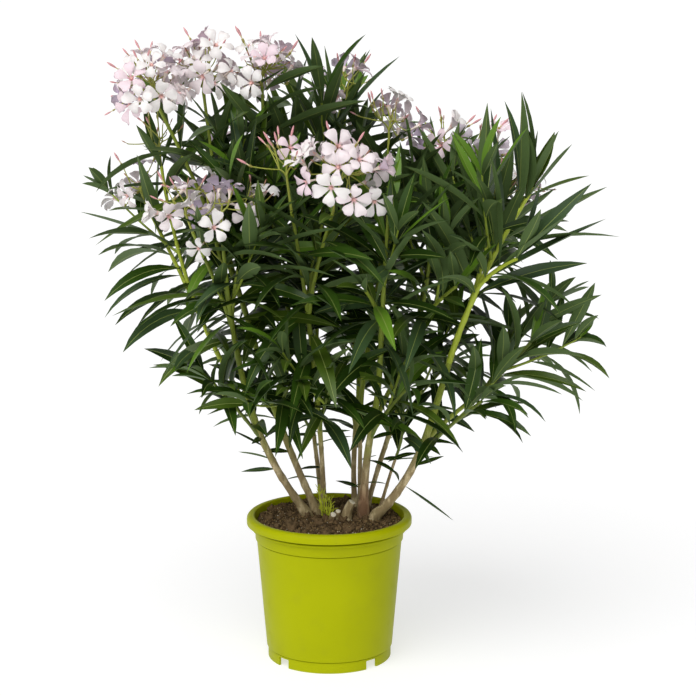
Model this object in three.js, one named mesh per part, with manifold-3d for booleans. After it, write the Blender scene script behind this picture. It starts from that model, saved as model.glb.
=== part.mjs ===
// Potted oleander: a many-stemmed shrub in a round nursery pot of lime green plastic.
// Ten woody stems stand on the compost, boughs carry them on, and each mass of foliage is a twig that
// forks, with lance-shaped leaves in whorls of three and clusters of five-lobed flowers fused on.
// Millimetres, +Z up, and the front looks along -Y. Every size is told from the middle of the pot's
// underside, and at the end the whole plant is set down so that the origin is under its middle.
import * as THREE from "three";
import { mergeVertices } from "three/addons/utils/BufferGeometryUtils.js";
import Module from "manifold-3d";

const wasm = await Module();
wasm.setup();

// ---- Driving dimensions ----
const POT_HEIGHT = 213;
const RIM_RADIUS = 120; // outside of the rolled rim
const RIM_HEIGHT = 15;
const RIM_WIDTH = 13;
const NECK_RADIUS = 107.5; // the band under the rim
const NECK_HEIGHT = 20.5;
const BASE_RADIUS = 92; // the wall's foot, above the foot ring
const STEP = 2; // how far the wall steps in under the neck and above the foot ring
const WALL = 2.5;
const FOOT_HEIGHT = 17;
const FLOOR_HEIGHT = 15; // underside of the pot's floor
const NOTCHES = 4;
const NOTCH = { width: 20, height: 13, firstAngle: 43 };
const POT_SEGMENTS = 36;

const COMPOST_TOP = 207; // flat middle of the compost
const COMPOST_DROP = 4.5; // how much lower it lies at the wall
const COMPOST_FLAT_RADIUS = 94;

const GAP = 0.3; // clear distance between pieces that touch
const SEAT_GAP = GAP / Math.cos(Math.PI / 7); // the same, measured at a seven-sided limb's corners
const GROUND = COMPOST_TOP + GAP;
const FLARE = { height: 9, swell: 1.3 }; // root flare of a stem's foot

const LEAF = {
  length: 148,
  width: 27,
  thickness: 2.6,
  arch: 0.06,
  droop: 0.2,
  lowDroop: 0.22, // added for the lowest leaves
  tipAngle: 24, // from the twig's direction, at its tip
  lowAngle: 80, // the same, openBelow or more from the tip
  openBelow: 170,
  smallBelow: [290, 430], // leaves shrink towards the lower of these heights
  rootShare: 0.18, // the part near its twig that may cross its neighbours
  youngShare: 0.74, // size of the leaves at a twig's very tip
  lowShare: 0.68, // size of the lowest leaves
  clearance: 1.6,
  headroom: 14, // above the pot's rim
  tries: 4,
};
const WHORL = { leaves: 3, spacing: 45, turn: 60 };
const FLOWER = { lobes: 5, radius: 25, depth: 18, notch: 0.5, dish: 6, stalk: 1.6 };
const BUD = { width: 8, widest: 0.7, lead: 14 };
const CLUSTER = {
  stem: 22,
  stemRadius: 1.9,
  reach: 46, // from the top of the cluster's stem to its flowers
  spread: 78, // how far the outer flowers lean from the stem's direction
  headShare: 0.45, // the part of a flower, from its face down, that keeps clear of its neighbours
};
// The crown's underside: its height over the pot, and how it rises outwards, less so to the right.
const SKIRT = { height: 205, slope: 0.62, rightward: -0.00075 };
const TWIG = {
  base: 4.4,
  tip: 2.2,
  sideScale: 0.8, // a side twig's base against the leader's
  sides: 3,
  steps: 3,
  firstFork: 0.3, // share of the leader at which the first side twig leaves it
  forkStep: 0.08,
  againstLimb: { tip: 0.95, side: 0.7 }, // the most that a base may be of its limb's radius
  leavesFrom: { leader: 0.08, side: 0.25 }, // share of the twig below which it's bare
  leavesTo: 0.985,
};
const STEM_MESH = { sides: 7, steps: 6 };
const BOUGH_MESH = { sides: 7, steps: 3 };

// ---- The plant's limbs: where each foot or fork is, what it bows towards, and where it ends ----
// A stem: foot [x, y] on the compost, the point that it bows towards, its tip, and its two radii.
const STEMS = {
  stem_left_outer: { foot: [-29, 7], bow: [-83, -2, 278], tip: [-107, -12, 356], radii: [6, 5.2] },
  stem_left_inner: { foot: [-16, 18], bow: [-48, 24, 272], tip: [-80, 32, 362], radii: [5.8, 5] },
  stem_mid_left: { foot: [-11, 62], bow: [-21, 60, 300], tip: [-29, 60, 365], radii: [5, 4.2] },
  stem_mid_right: { foot: [-8, 39], bow: [-10, 24, 290], tip: [-15, -2, 358], radii: [5.2, 4.4] },
  stem_back: { foot: [38, 64], bow: [32, 70, 264], tip: [42, 88, 356], radii: [5.2, 4.4] },
  stem_mid_thin: { foot: [45, 36], bow: [44, 34, 278], tip: [46, 28, 360], radii: [4.6, 4] },
  stem_centre: { foot: [50, 8], bow: [50, 2, 284], tip: [63, -16, 352], radii: [7, 5.2] },
  stem_back_right: { foot: [55, 54], bow: [70, 62, 262], tip: [99, 84, 345], radii: [4.4, 3.8] },
  stem_right: { foot: [62, -8], bow: [118, -6, 254], tip: [146, -26, 356], radii: [7, 5.6] },
  stem_low_right: { foot: [73, 27], bow: [86, 20, 260], tip: [98, 8, 298], radii: [2.6, 2.3] },
};

// A bough carries on from a stem's tip, or springs from its side at a share of its length.
const BOUGHS = {
  bough_left_front: { from: "stem_left_outer", tip: [-126, -34, 438], radii: [5.2, 4.6] },
  bough_left_side: { from: "stem_left_outer", at: 0.84, tip: [-152, 14, 430], radii: [4, 3.6] },
  bough_left_top: { from: "stem_left_inner", tip: [-104, 36, 442], radii: [5, 4.6] },
  bough_top_left: { from: "stem_mid_left", tip: [-44, 54, 440], radii: [4.2, 3.8] },
  bough_top_centre: { from: "stem_mid_left", at: 0.84, tip: [-22, 94, 432], radii: [3.6, 3.4] },
  bough_centre_front: { from: "stem_mid_right", tip: [-22, -34, 446], radii: [4.4, 3.8] },
  bough_back: { from: "stem_back", tip: [36, 122, 442], radii: [4.2, 3.6] },
  bough_back_left: { from: "stem_back", at: 0.82, tip: [-8, 132, 428], radii: [3.6, 3.4] },
  bough_back_centre: { from: "stem_mid_thin", tip: [56, 42, 446], radii: [4, 3.8] },
  bough_centre: { from: "stem_centre", tip: [72, -44, 438], radii: [5.2, 4.6] },
  bough_centre_right: { from: "stem_centre", at: 0.86, tip: [102, -14, 430], radii: [4, 3.6] },
  bough_back_right: { from: "stem_back_right", tip: [120, 100, 424], radii: [3.8, 3.4] },
  bough_right: { from: "stem_right", tip: [170, -46, 446], radii: [5.6, 4.8] },
  bough_right_low: { from: "stem_right", at: 0.8, tip: [196, -14, 378], radii: [4, 3.4] },
};

// A mass of foliage grows on a limb and runs to its tips. The first tip ends its leader, and the others
// end twigs that leave the leader at its forks. Each tip: x, y, z, then its open flowers and its buds.
const MASSES = {
  foliage_left_front: {
    on: "bough_left_front",
    tips: [[-145, -95, 636, 2, 1], [-188, -60, 632, 3, 1], [-112, -66, 634, 2, 1], [-166, -30, 656, 2, 0]],
  },
  foliage_left_side: { on: "bough_left_side", tips: [[-238, 26, 716, 0, 3], [-262, 66, 650, 2, 1]] },
  foliage_left_top: { on: "bough_left_top", tips: [[-240, -6, 806, 6, 2], [-178, 44, 820, 6, 1]] },
  foliage_top_left: { on: "bough_top_left", tips: [[-95, 50, 826, 7, 2], [-120, -14, 706, 0, 0]] },
  foliage_top_centre: { on: "bough_top_centre", tips: [[-10, 100, 800, 0, 0], [-56, 130, 738, 0, 0]] },
  foliage_centre_front: {
    on: "bough_centre_front",
    tips: [[-50, -88, 664, 1, 3], [6, -112, 664, 6, 2], [-6, -30, 650, 0, 0]],
  },
  foliage_centre: { on: "bough_centre", tips: [[82, -92, 660, 0, 0], [52, -128, 560, 0, 0]] },
  foliage_centre_right: { on: "bough_centre_right", tips: [[143, -8, 646, 0, 0], [176, -84, 560, 0, 0]] },
  foliage_back_centre: { on: "bough_back_centre", tips: [[86, 96, 735, 3, 2], [122, 52, 700, 0, 0]] },
  foliage_back: {
    on: "bough_back",
    tips: [[24, 160, 788, 2, 1], [16, 214, 690, 2, 1], [84, 206, 640, 0, 0]],
  },
  foliage_back_left: {
    on: "bough_back_left",
    tips: [[-152, 182, 690, 2, 1], [-72, 220, 640, 0, 0], [-180, 128, 610, 0, 0]],
  },
  foliage_back_right: {
    on: "bough_back_right",
    tips: [[164, 114, 706, 2, 2], [210, 92, 700, 2, 2], [158, 190, 612, 0, 0]],
  },
  foliage_right: {
    on: "bough_right",
    tips: [[284, -50, 694, 0, 0], [232, -18, 640, 0, 3], [270, 62, 660, 2, 1], [256, -122, 604, 0, 0]],
  },
  foliage_right_low: { on: "bough_right_low", tips: [[286, -24, 470, 0, 0], [262, 60, 470, 0, 0]] },
  foliage_low_left: { on: "stem_left_outer", at: 0.74, tips: [[-176, -54, 430, 0, 0]] },
  foliage_low_inner: { on: "stem_left_inner", at: 0.78, tips: [[-56, -92, 418, 0, 0]] },
  foliage_low_centre: { on: "stem_mid_right", at: 0.8, tips: [[6, -84, 424, 0, 0]] },
  foliage_low_front: { on: "stem_centre", at: 0.78, tips: [[112, -92, 420, 0, 0]] },
  foliage_low_right: { on: "stem_right", at: 0.66, tips: [[214, -84, 398, 0, 0]] },
  foliage_low_back_left: { on: "stem_mid_left", at: 0.6, tips: [[-116, 124, 430, 0, 0]] },
  foliage_low_back: { on: "stem_back", at: 0.62, tips: [[48, 176, 420, 0, 0]] },
  foliage_low_back_right: { on: "stem_back_right", at: 0.72, tips: [[180, 126, 412, 0, 0]] },
  foliage_low_twig: { on: "stem_low_right", tips: [[106, -30, 372, 0, 0]] },
};

// Stumps of pruned stems: foot [x, y], lean [x, y] over their height, height and radius.
const STUMPS = {
  stump_large: { foot: [24, -9], lean: [8, 3], height: 27, radius: 6.5 },
  stump_small_left: { foot: [4, -12], lean: [2, -6], height: 9, radius: 3.6 },
  stump_small_right: { foot: [12, -6], lean: [1, -5], height: 12, radius: 3.4 },
};
const SPROUTS = { foot: [-6, -1], count: 9, height: 46, spread: 15, radius: 1.1 };

// Where the pot stands, so that the middle of the plant's outline from above lies over the origin: the
// crown leans back and to the right of its pot.
const POT_PLACE = [-21, -40];

// ---- Small tools ----
function seededRandom(seed) {
  let state = seed;
  return () => {
    state = (state + 0x6d2b79f5) | 0;
    let t = Math.imul(state ^ (state >>> 15), 1 | state);
    t = (t + Math.imul(t ^ (t >>> 7), 61 | t)) ^ t;
    return ((t ^ (t >>> 14)) >>> 0) / 2 ** 32;
  };
}
const random = seededRandom(7);
const jitter = (amount) => (random() * 2 - 1) * amount;
const lerp = THREE.MathUtils.lerp;
const radians = THREE.MathUtils.degToRad;
const vector = (x, y, z) => new THREE.Vector3(x, y, z);

function solidFrom(geometry) {
  const bare = geometry.clone();
  bare.deleteAttribute("normal");
  bare.deleteAttribute("uv");
  const merged = mergeVertices(bare, 1e-4);
  return new wasm.Manifold(
    new wasm.Mesh({
      numProp: 3,
      vertProperties: merged.attributes.position.array,
      triVerts: Uint32Array.from(merged.index.array),
    })
  );
}

function geometryFrom(solid) {
  const { vertProperties, triVerts, numProp } = solid.getMesh();
  const geometry = new THREE.BufferGeometry();
  const buffer = new THREE.InterleavedBuffer(vertProperties, numProp);
  geometry.setAttribute("position", new THREE.InterleavedBufferAttribute(buffer, 3, 0));
  geometry.setIndex(new THREE.BufferAttribute(triVerts, 1));
  return geometry.toNonIndexed();
}

// The largest body of a fused solid: a loose scrap or the skin of a sealed hollow is dropped. It is read
// back from its mesh first, because storing the vertices can part what only just hangs together.
function mainBody(solid) {
  return solidFrom(geometryFrom(solid)).decompose().sort((a, b) => b.volume() - a.volume())[0];
}

// Two unit vectors square to a limb's direction, the same way round all along it.
function crossAxes(direction) {
  const across = vector(1, 0, 0).addScaledVector(direction, -direction.x).normalize();
  const beside = across.clone().cross(direction);
  return [across, beside];
}

// A cylinder bent along a curve, with its own radius at each share of the length.
function limbSolid({ curve, radiusAt, sides, steps, flatFoot = false }) {
  const geometry = new THREE.CylinderGeometry(1, 1, 1, sides, steps);
  const position = geometry.attributes.position;
  const up = vector(0, 0, 1);
  for (let i = 0; i < position.count; i++) {
    const share = Math.round((position.getY(i) + 0.5) * steps) / steps;
    const direction = flatFoot && share === 0 ? up : curve.getTangent(share);
    const [across, beside] = crossAxes(direction);
    const radius = radiusAt(share);
    const point = curve
      .getPoint(share)
      .addScaledVector(across, position.getX(i) * radius)
      .addScaledVector(beside, position.getZ(i) * radius);
    position.setXYZ(i, point.x, point.y, point.z);
  }
  return solidFrom(geometry);
}

// ---- Pot and compost ----
function wallRadius(height) {
  const top = POT_HEIGHT - RIM_HEIGHT - NECK_HEIGHT;
  return lerp(BASE_RADIUS, NECK_RADIUS - STEP, (height - FOOT_HEIGHT) / (top - FOOT_HEIGHT));
}

function potSolid() {
  const rimFoot = POT_HEIGHT - RIM_HEIGHT;
  const neckFoot = rimFoot - NECK_HEIGHT;
  const footRadius = BASE_RADIUS - STEP;
  const roll = RIM_HEIGHT * 0.42;
  const profile = new THREE.Path();
  profile.moveTo(0, FLOOR_HEIGHT);
  profile.lineTo(footRadius - WALL - 1, FLOOR_HEIGHT);
  profile.lineTo(footRadius - WALL - 1, 0);
  profile.lineTo(footRadius, 0);
  profile.lineTo(footRadius + 0.3, FOOT_HEIGHT - 1);
  profile.lineTo(BASE_RADIUS, FOOT_HEIGHT + 1);
  profile.lineTo(wallRadius(neckFoot), neckFoot - 1);
  profile.lineTo(NECK_RADIUS, neckFoot + 1);
  profile.lineTo(NECK_RADIUS + 0.8, rimFoot + 1.5);
  profile.lineTo(RIM_RADIUS - 1.5, rimFoot);
  profile.lineTo(RIM_RADIUS, rimFoot + 2);
  profile.lineTo(RIM_RADIUS, POT_HEIGHT - roll);
  profile.quadraticCurveTo(RIM_RADIUS, POT_HEIGHT, RIM_RADIUS - roll, POT_HEIGHT);
  profile.lineTo(RIM_RADIUS - RIM_WIDTH + 2.5, POT_HEIGHT - 0.5);
  profile.quadraticCurveTo(
    RIM_RADIUS - RIM_WIDTH, POT_HEIGHT - 1, NECK_RADIUS + 0.5 - WALL, rimFoot - 2
  );
  profile.lineTo(wallRadius(FOOT_HEIGHT) - WALL - 0.5, FLOOR_HEIGHT + WALL);
  profile.lineTo(0, FLOOR_HEIGHT + WALL);
  profile.closePath();
  const turned = new THREE.LatheGeometry(profile.getPoints(3), POT_SEGMENTS);
  turned.rotateX(Math.PI / 2);
  const notches = Array.from({ length: NOTCHES }, (_, i) => notchSolid(i));
  return notches.reduce((pot, notch) => pot.subtract(notch), solidFrom(turned));
}

function notchSolid(index) {
  const block = new THREE.BoxGeometry(4 * WALL + 12, NOTCH.width, 2 * NOTCH.height);
  block.translate(BASE_RADIUS - STEP - WALL, 0, 0);
  block.rotateZ(radians(NOTCH.firstAngle + (360 / NOTCHES) * index));
  return solidFrom(block);
}

function compostSolid() {
  const floor = FLOOR_HEIGHT + WALL + GAP;
  const topRadius = wallRadius(COMPOST_TOP - COMPOST_DROP) - WALL - 1.2;
  const edge = COMPOST_TOP - COMPOST_DROP;
  const profile = [
    new THREE.Vector2(0, floor),
    new THREE.Vector2(wallRadius(FOOT_HEIGHT) - WALL - 1.5, floor),
    new THREE.Vector2(topRadius - 1, edge - 12),
    new THREE.Vector2(topRadius, edge),
    new THREE.Vector2(COMPOST_FLAT_RADIUS, COMPOST_TOP),
    new THREE.Vector2(0, COMPOST_TOP),
  ];
  const turned = new THREE.LatheGeometry(profile, POT_SEGMENTS);
  turned.rotateX(Math.PI / 2);
  return solidFrom(turned);
}

// ---- Limbs ----
const limbs = new Map(); // name -> { curve, radiusAt, sides, steps }

function stemLimb({ foot, bow, tip, radii }) {
  const curve = new THREE.QuadraticBezierCurve3(vector(...foot, GROUND), vector(...bow), vector(...tip));
  const length = curve.getLength();
  const radiusAt = (share) =>
    lerp(radii[0], radii[1], share) + FLARE.swell * Math.exp((-share * length) / FLARE.height);
  return { curve, radiusAt, ...STEM_MESH, flatFoot: true };
}

// A limb that grows on from another: from its tip, or out of its side at a share of its length.
function growFrom(parent, at, tip) {
  const share = at ?? 1;
  const direction = parent.curve.getTangent(share);
  const start = parent.curve.getPoint(share);
  const end = vector(...tip);
  if (at === undefined) start.addScaledVector(direction, GAP);
  else direction.add(end.clone().sub(start).normalize()).normalize();
  const pull = start.distanceTo(end) * (at === undefined ? 0.45 : 0.35);
  return new THREE.QuadraticBezierCurve3(start, start.clone().addScaledVector(direction, pull), end);
}

// What springs from a limb's side is cut to a seat that fits round it and round what grows on from its tip.
function seatOn(solid, parentName) {
  const isGrownOn = (name) => BOUGHS[name].from === parentName && BOUGHS[name].at === undefined;
  const grownOn = Object.keys(BOUGHS).filter(isGrownOn);
  return mainBody(
    [parentName, ...grownOn].reduce((cut, name) => {
      const limb = limbs.get(name);
      return cut.subtract(limbSolid({ ...limb, radiusAt: (share) => limb.radiusAt(share) + SEAT_GAP }));
    }, solid)
  );
}

// ---- Room: every solid that has been placed, with its box, so that new ones can keep clear of it ----
const room = []; // { owner, part, solid, box }

function reserve(owner, part, solid) {
  room.push({ owner, part, solid, box: solid.boundingBox() });
}

function boxesMeet(a, b) {
  return [0, 1, 2].every((axis) => a.min[axis] <= b.max[axis] && b.min[axis] <= a.max[axis]);
}

function isFree(solid, isObstacle) {
  const box = solid.boundingBox();
  return room.every(
    (piece) => !isObstacle(piece) || !boxesMeet(box, piece.box) || piece.solid.intersect(solid).isEmpty()
  );
}

// ---- Leaves and flowers ----
// A six-faced blade: two flat sides that meet in a keel below, drawn out to a point at both ends, with
// its middle lifted to arch it.
function leafSolid({ base, tip, up, width, arch, thickness = LEAF.thickness }) {
  const outline = [new THREE.Vector2(0, -1), new THREE.Vector2(1, 0), new THREE.Vector2(0, 1)];
  const blade = new THREE.LatheGeometry(outline, 3);
  const along = tip.clone().sub(base);
  const length = along.length();
  along.normalize();
  const lift = up.clone().addScaledVector(along, -up.dot(along)).normalize();
  const side = lift.clone().cross(along);
  const position = blade.attributes.position;
  for (let i = 0; i < position.count; i++) {
    const share = (position.getY(i) + 1) / 2;
    const point = base
      .clone()
      .addScaledVector(along, share * length)
      .addScaledVector(side, (position.getX(i) * width) / Math.sqrt(3))
      .addScaledVector(lift, (position.getZ(i) * thickness) / -1.5 + arch * length * 4 * share * (1 - share));
    position.setXYZ(i, point.x, point.y, point.z);
  }
  return solidFrom(blade);
}

// Five lobes round a funnel that narrows to a stalk. Every second corner of the ten lies further in, and
// round the throat and the stalk these corners fold onto their neighbours.
function flowerSolid(root, centre) {
  const facing = centre.clone().sub(root);
  const length = facing.length();
  const profile = [
    new THREE.Vector2(0, -length),
    new THREE.Vector2(FLOWER.stalk, -FLOWER.depth),
    new THREE.Vector2(FLOWER.radius, 0),
    new THREE.Vector2(0, -FLOWER.dish),
  ];
  const funnel = new THREE.LatheGeometry(profile, 2 * FLOWER.lobes);
  const position = funnel.attributes.position;
  for (let i = 0; i < position.count; i++) {
    const column = Math.floor(i / profile.length) % (2 * FLOWER.lobes);
    const row = i % profile.length;
    const isInner = column % 2 === 1;
    if (row === 1 && isInner) {
      const j = i - profile.length;
      position.setXYZ(i, position.getX(j), position.getY(j), position.getZ(j));
    } else if (row === 2 && isInner) {
      position.setXYZ(i, position.getX(i) * FLOWER.notch, position.getY(i), position.getZ(i) * FLOWER.notch);
    }
  }
  funnel.applyQuaternion(new THREE.Quaternion().setFromUnitVectors(vector(0, 1, 0), facing.normalize()));
  funnel.translate(centre.x, centre.y, centre.z);
  return solidFrom(funnel);
}

// A slender bud on its stalk: a six-faced spindle, widest near its tip.
function budSolid(root, tip) {
  const axis = tip.clone().sub(root);
  const length = axis.length();
  const outline = [[0, 0], [BUD.width / 2, length * BUD.widest], [0, length]];
  const spindle = new THREE.LatheGeometry(outline.map(([x, y]) => new THREE.Vector2(x, y)), 3);
  spindle.applyQuaternion(new THREE.Quaternion().setFromUnitVectors(vector(0, 1, 0), axis.normalize()));
  spindle.translate(root.x, root.y, root.z);
  return solidFrom(spindle);
}

// Flowers and buds fan out over a dome, each on a stalk that leaves the cluster's own stem. A head that
// would meet another mass or another head is left out.
function growCluster(mass, foot, direction, flowers, buds) {
  const total = flowers + buds;
  const [across, beside] = crossAxes(direction);
  const top = foot.clone().addScaledVector(direction, CLUSTER.stem);
  const stem = new THREE.LineCurve3(foot.clone().addScaledVector(direction, -2), top);
  const radiusAt = () => CLUSTER.stemRadius;
  const stemSolid = limbSolid({ curve: stem, radiusAt, sides: TWIG.sides, steps: 1 });
  reserve(mass.name, "stem", stemSolid);
  mass.pieces.push(stemSolid);
  for (let i = 0; i < total; i++) {
    const isBud = Math.floor(((i + 1) * buds) / total) > Math.floor((i * buds) / total);
    const makeHead = isBud ? budSolid : flowerSolid;
    const turn = radians(137.5 * i) + jitter(0.2);
    const lean = radians(CLUSTER.spread * Math.sqrt((i + 0.3) / total));
    const facing = direction
      .clone()
      .multiplyScalar(Math.cos(lean))
      .addScaledVector(across, Math.cos(turn) * Math.sin(lean))
      .addScaledVector(beside, Math.sin(turn) * Math.sin(lean));
    const root = stem.getPoint(1 - i / total);
    const head = top.clone().addScaledVector(facing, CLUSTER.reach + (isBud ? BUD.lead : 0) + jitter(4));
    const solid = makeHead(root, head);
    const headOnly = makeHead(head.clone().lerp(root, CLUSTER.headShare), head);
    if (!isFree(solid, ({ owner }) => owner !== mass.name)) continue;
    if (!isFree(headOnly, ({ owner, part }) => owner === mass.name && part === "flower")) continue;
    reserve(mass.name, "flower", solid);
    mass.pieces.push(solid);
  }
}

// The places for leaves on a twig: whorls of three, each turned against the one below it.
function leafPlaces(mass, { part, curve, from }) {
  const length = curve.getLength();
  const whorls = Math.max(2, Math.round((length * (1 - from)) / WHORL.spacing) + 1);
  return Array.from({ length: whorls * WHORL.leaves }, (_, i) => {
    const whorl = Math.floor(i / WHORL.leaves);
    const share = lerp(from, TWIG.leavesTo, whorl / (whorls - 1));
    const turn = (360 / WHORL.leaves) * (i % WHORL.leaves) + WHORL.turn * whorl;
    return { mass, twig: part, curve, share, turn, toTip: (1 - share) * length };
  });
}

// A leaf at such a place: folded up at the twig's tip, open and drooping further down, smaller low down
// on the plant and at the very tip.
function shapeLeaf({ mass, twig, curve, share, turn, toTip }) {
  const base = curve.getPoint(share);
  const direction = curve.getTangent(share);
  const [across, beside] = crossAxes(direction);
  const openness = Math.min(1, toTip / LEAF.openBelow);
  const open = radians(lerp(LEAF.tipAngle, LEAF.lowAngle, openness) + jitter(9));
  const around = radians(turn + jitter(22));
  const outward = across.clone().multiplyScalar(Math.cos(around)).addScaledVector(beside, Math.sin(around));
  const heading = direction.clone().multiplyScalar(Math.cos(open)).addScaledVector(outward, Math.sin(open));
  const [lowest, fullSizeFrom] = LEAF.smallBelow;
  const rise = THREE.MathUtils.clamp((base.z - lowest) / (fullSizeFrom - lowest), 0, 1);
  const age = Math.min(1, toTip / WHORL.spacing);
  const size = lerp(LEAF.youngShare, 1, age) * lerp(LEAF.lowShare, 1, rise) * (1 + jitter(0.1));
  const flatness = openness * (1 - Math.abs(heading.z));
  const droop = LEAF.droop * (0.4 + flatness) + LEAF.lowDroop * (1 - rise) + jitter(0.05);
  const tip = base.clone().addScaledVector(heading, LEAF.length * size);
  tip.z -= droop * LEAF.length * size;
  const up = direction.clone().addScaledVector(vector(0, 0, 1), 0.6);
  return { mass, twig, base, tip, up, width: LEAF.width * (0.4 + 0.6 * size), arch: LEAF.arch + droop * 0.3 };
}

// A leaf keeps clear of everything of another mass, and past its root it crosses nothing of its own.
function leafFits(leaf) {
  const { mass, base, tip, width } = leaf;
  const skirt = SKIRT.height + Math.hypot(tip.x, tip.y) * (SKIRT.slope + SKIRT.rightward * tip.x);
  if (tip.z < Math.max(skirt, POT_HEIGHT + LEAF.headroom)) return false;
  const { clearance, thickness } = LEAF;
  const swollen = leafSolid({ ...leaf, width: width + clearance, thickness: thickness + clearance });
  if (!isFree(swollen, ({ owner }) => owner !== mass.name)) return false;
  const outer = leafSolid({ ...leaf, base: base.clone().lerp(tip, LEAF.rootShare) });
  return isFree(outer, ({ owner, part }) => owner === mass.name && part !== leaf.twig);
}

// ---- Putting the plant together ----
const plant = new THREE.Group();
plant.position.set(...POT_PLACE, 0);
const matte = { metalness: 0, flatShading: true };
const finish = {
  pot: new THREE.MeshStandardMaterial({ color: 0xaebe14, roughness: 0.38, ...matte }),
  compost: new THREE.MeshStandardMaterial({ color: 0x3a2a20, roughness: 0.95, ...matte }),
  bark: new THREE.MeshStandardMaterial({ color: 0x8d7a5c, roughness: 0.8, ...matte }),
  greenwood: new THREE.MeshStandardMaterial({ color: 0x7d8f3a, roughness: 0.6, ...matte }),
  foliage: new THREE.MeshStandardMaterial({ color: 0x2c4f22, roughness: 0.5, ...matte }),
  sprouts: new THREE.MeshStandardMaterial({ color: 0x8fae25, roughness: 0.6, ...matte }),
};

function addPiece(name, solid, material) {
  const mesh = new THREE.Mesh(geometryFrom(solid), material);
  mesh.name = name;
  plant.add(mesh);
}

addPiece("pot", potSolid(), finish.pot);
addPiece("compost", compostSolid(), finish.compost);

for (const [name, stem] of Object.entries(STEMS)) {
  const limb = stemLimb(stem);
  limbs.set(name, limb);
  reserve(name, "limb", limbSolid(limb));
  addPiece(name, limbSolid(limb), finish.bark);
}

for (const [name, { from, at, tip, radii }] of Object.entries(BOUGHS)) {
  const curve = growFrom(limbs.get(from), at, tip);
  const limb = { curve, radiusAt: (share) => lerp(radii[0], radii[1], share), ...BOUGH_MESH };
  limbs.set(name, limb);
  reserve(name, "limb", limbSolid(limb));
  const solid = limbSolid(limb);
  addPiece(name, at === undefined ? solid : seatOn(solid, from), finish.greenwood);
}

for (const [name, { foot, lean, height, radius }] of Object.entries(STUMPS)) {
  const start = vector(...foot, GROUND);
  const curve = new THREE.QuadraticBezierCurve3(
    start,
    start.clone().add(vector(lean[0] * 0.2, lean[1] * 0.2, height * 0.5)),
    start.clone().add(vector(...lean, height))
  );
  const radiusAt = (share) => radius * (1.25 - 0.25 * share);
  const stump = limbSolid({ curve, radiusAt, ...STEM_MESH, steps: 2, flatFoot: true });
  addPiece(name, stump, finish.bark);
}

// Young shoots from the root: a tuft of upright needles fused on one foot.
function sproutSolid() {
  const foot = vector(...SPROUTS.foot, GROUND);
  const root = new THREE.CylinderGeometry(3, 5, 6, 8);
  root.rotateX(Math.PI / 2);
  root.translate(foot.x, foot.y, foot.z + 3);
  const blades = Array.from({ length: SPROUTS.count }, (_, i) => {
    const turn = radians(137.5 * i);
    const reach = SPROUTS.spread * Math.sqrt(i / SPROUTS.count);
    const top = foot.clone().add(vector(Math.cos(turn) * reach, Math.sin(turn) * reach * 0.6, 0));
    top.z += SPROUTS.height * (1 - 0.5 * (i / SPROUTS.count));
    const curve = new THREE.LineCurve3(foot.clone().setZ(foot.z + 2), top);
    const radiusAt = (share) => SPROUTS.radius * (1.2 - share * 0.8);
    return limbSolid({ curve, radiusAt, sides: 3, steps: 1 });
  });
  return mainBody(wasm.Manifold.union([solidFrom(root), ...blades]));
}
addPiece("sprouts", sproutSolid(), finish.sprouts);

const masses = Object.entries(MASSES).map(([name, { on, at, tips }]) => {
  const leader = growFrom(limbs.get(on), at, tips[0].slice(0, 3));
  const mass = { name, on, at, pieces: [], twigs: [] };
  tips.forEach((tip, i) => {
    const isLeader = i === 0;
    const fork = TWIG.firstFork + TWIG.forkStep * (i - 1);
    const curve = isLeader ? leader : growFrom({ curve: leader }, fork, tip.slice(0, 3));
    const thickest = limbs.get(on).radiusAt(at ?? 1) * TWIG.againstLimb[at === undefined ? "tip" : "side"];
    const base = Math.min(isLeader ? TWIG.base : TWIG.base * TWIG.sideScale, thickest);
    const end = Math.min(TWIG.tip, base * 0.8);
    const radiusAt = (share) => lerp(base, end, share);
    const solid = limbSolid({ curve, radiusAt, sides: TWIG.sides, steps: TWIG.steps });
    const part = `twig ${i}`;
    const from = isLeader ? TWIG.leavesFrom.leader : TWIG.leavesFrom.side;
    mass.twigs.push({ part, curve, from, flowers: tip[3], buds: tip[4] });
    mass.pieces.push(solid);
    reserve(name, part, solid);
  });
  return mass;
});

for (const mass of masses)
  for (const { curve, flowers, buds } of mass.twigs)
    if (flowers + buds) growCluster(mass, curve.getPoint(1), curve.getTangent(1), flowers, buds);

// Places are filled in a shuffled order, so that no mass crowds out its neighbours. Each gets a few tries,
// and stays empty if no leaf fits it.
const places = masses.flatMap((mass) => mass.twigs.flatMap((twig) => leafPlaces(mass, twig)));
places
  .map((place) => ({ place, order: random() }))
  .sort((a, b) => a.order - b.order)
  .forEach(({ place }) => {
    for (let attempt = 0; attempt < LEAF.tries; attempt++) {
      const leaf = shapeLeaf(place);
      if (!leafFits(leaf)) continue;
      const solid = leafSolid(leaf);
      reserve(leaf.mass.name, "leaf", solid);
      leaf.mass.pieces.push(solid);
      break;
    }
  });

for (const { name, on, at, pieces } of masses) {
  const fused = mainBody(wasm.Manifold.union(pieces));
  addPiece(name, at === undefined ? fused : seatOn(fused, on), finish.foliage);
}

export default plant;
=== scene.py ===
# %% [markdown]
# # A potted oleander
# The real thing is a garden shrub in flower: ten woody stems in a round nursery pot, a crown of long
# leathery leaves, and clusters of pale pink flowers. The solid model gives its size, its limbs and its
# reach, and this script dresses it. We load the model first, and note its box.

# %% Load the solid model
import math

import bmesh
import bpy
import numpy as np
from mathutils import Matrix, Vector, noise


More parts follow.
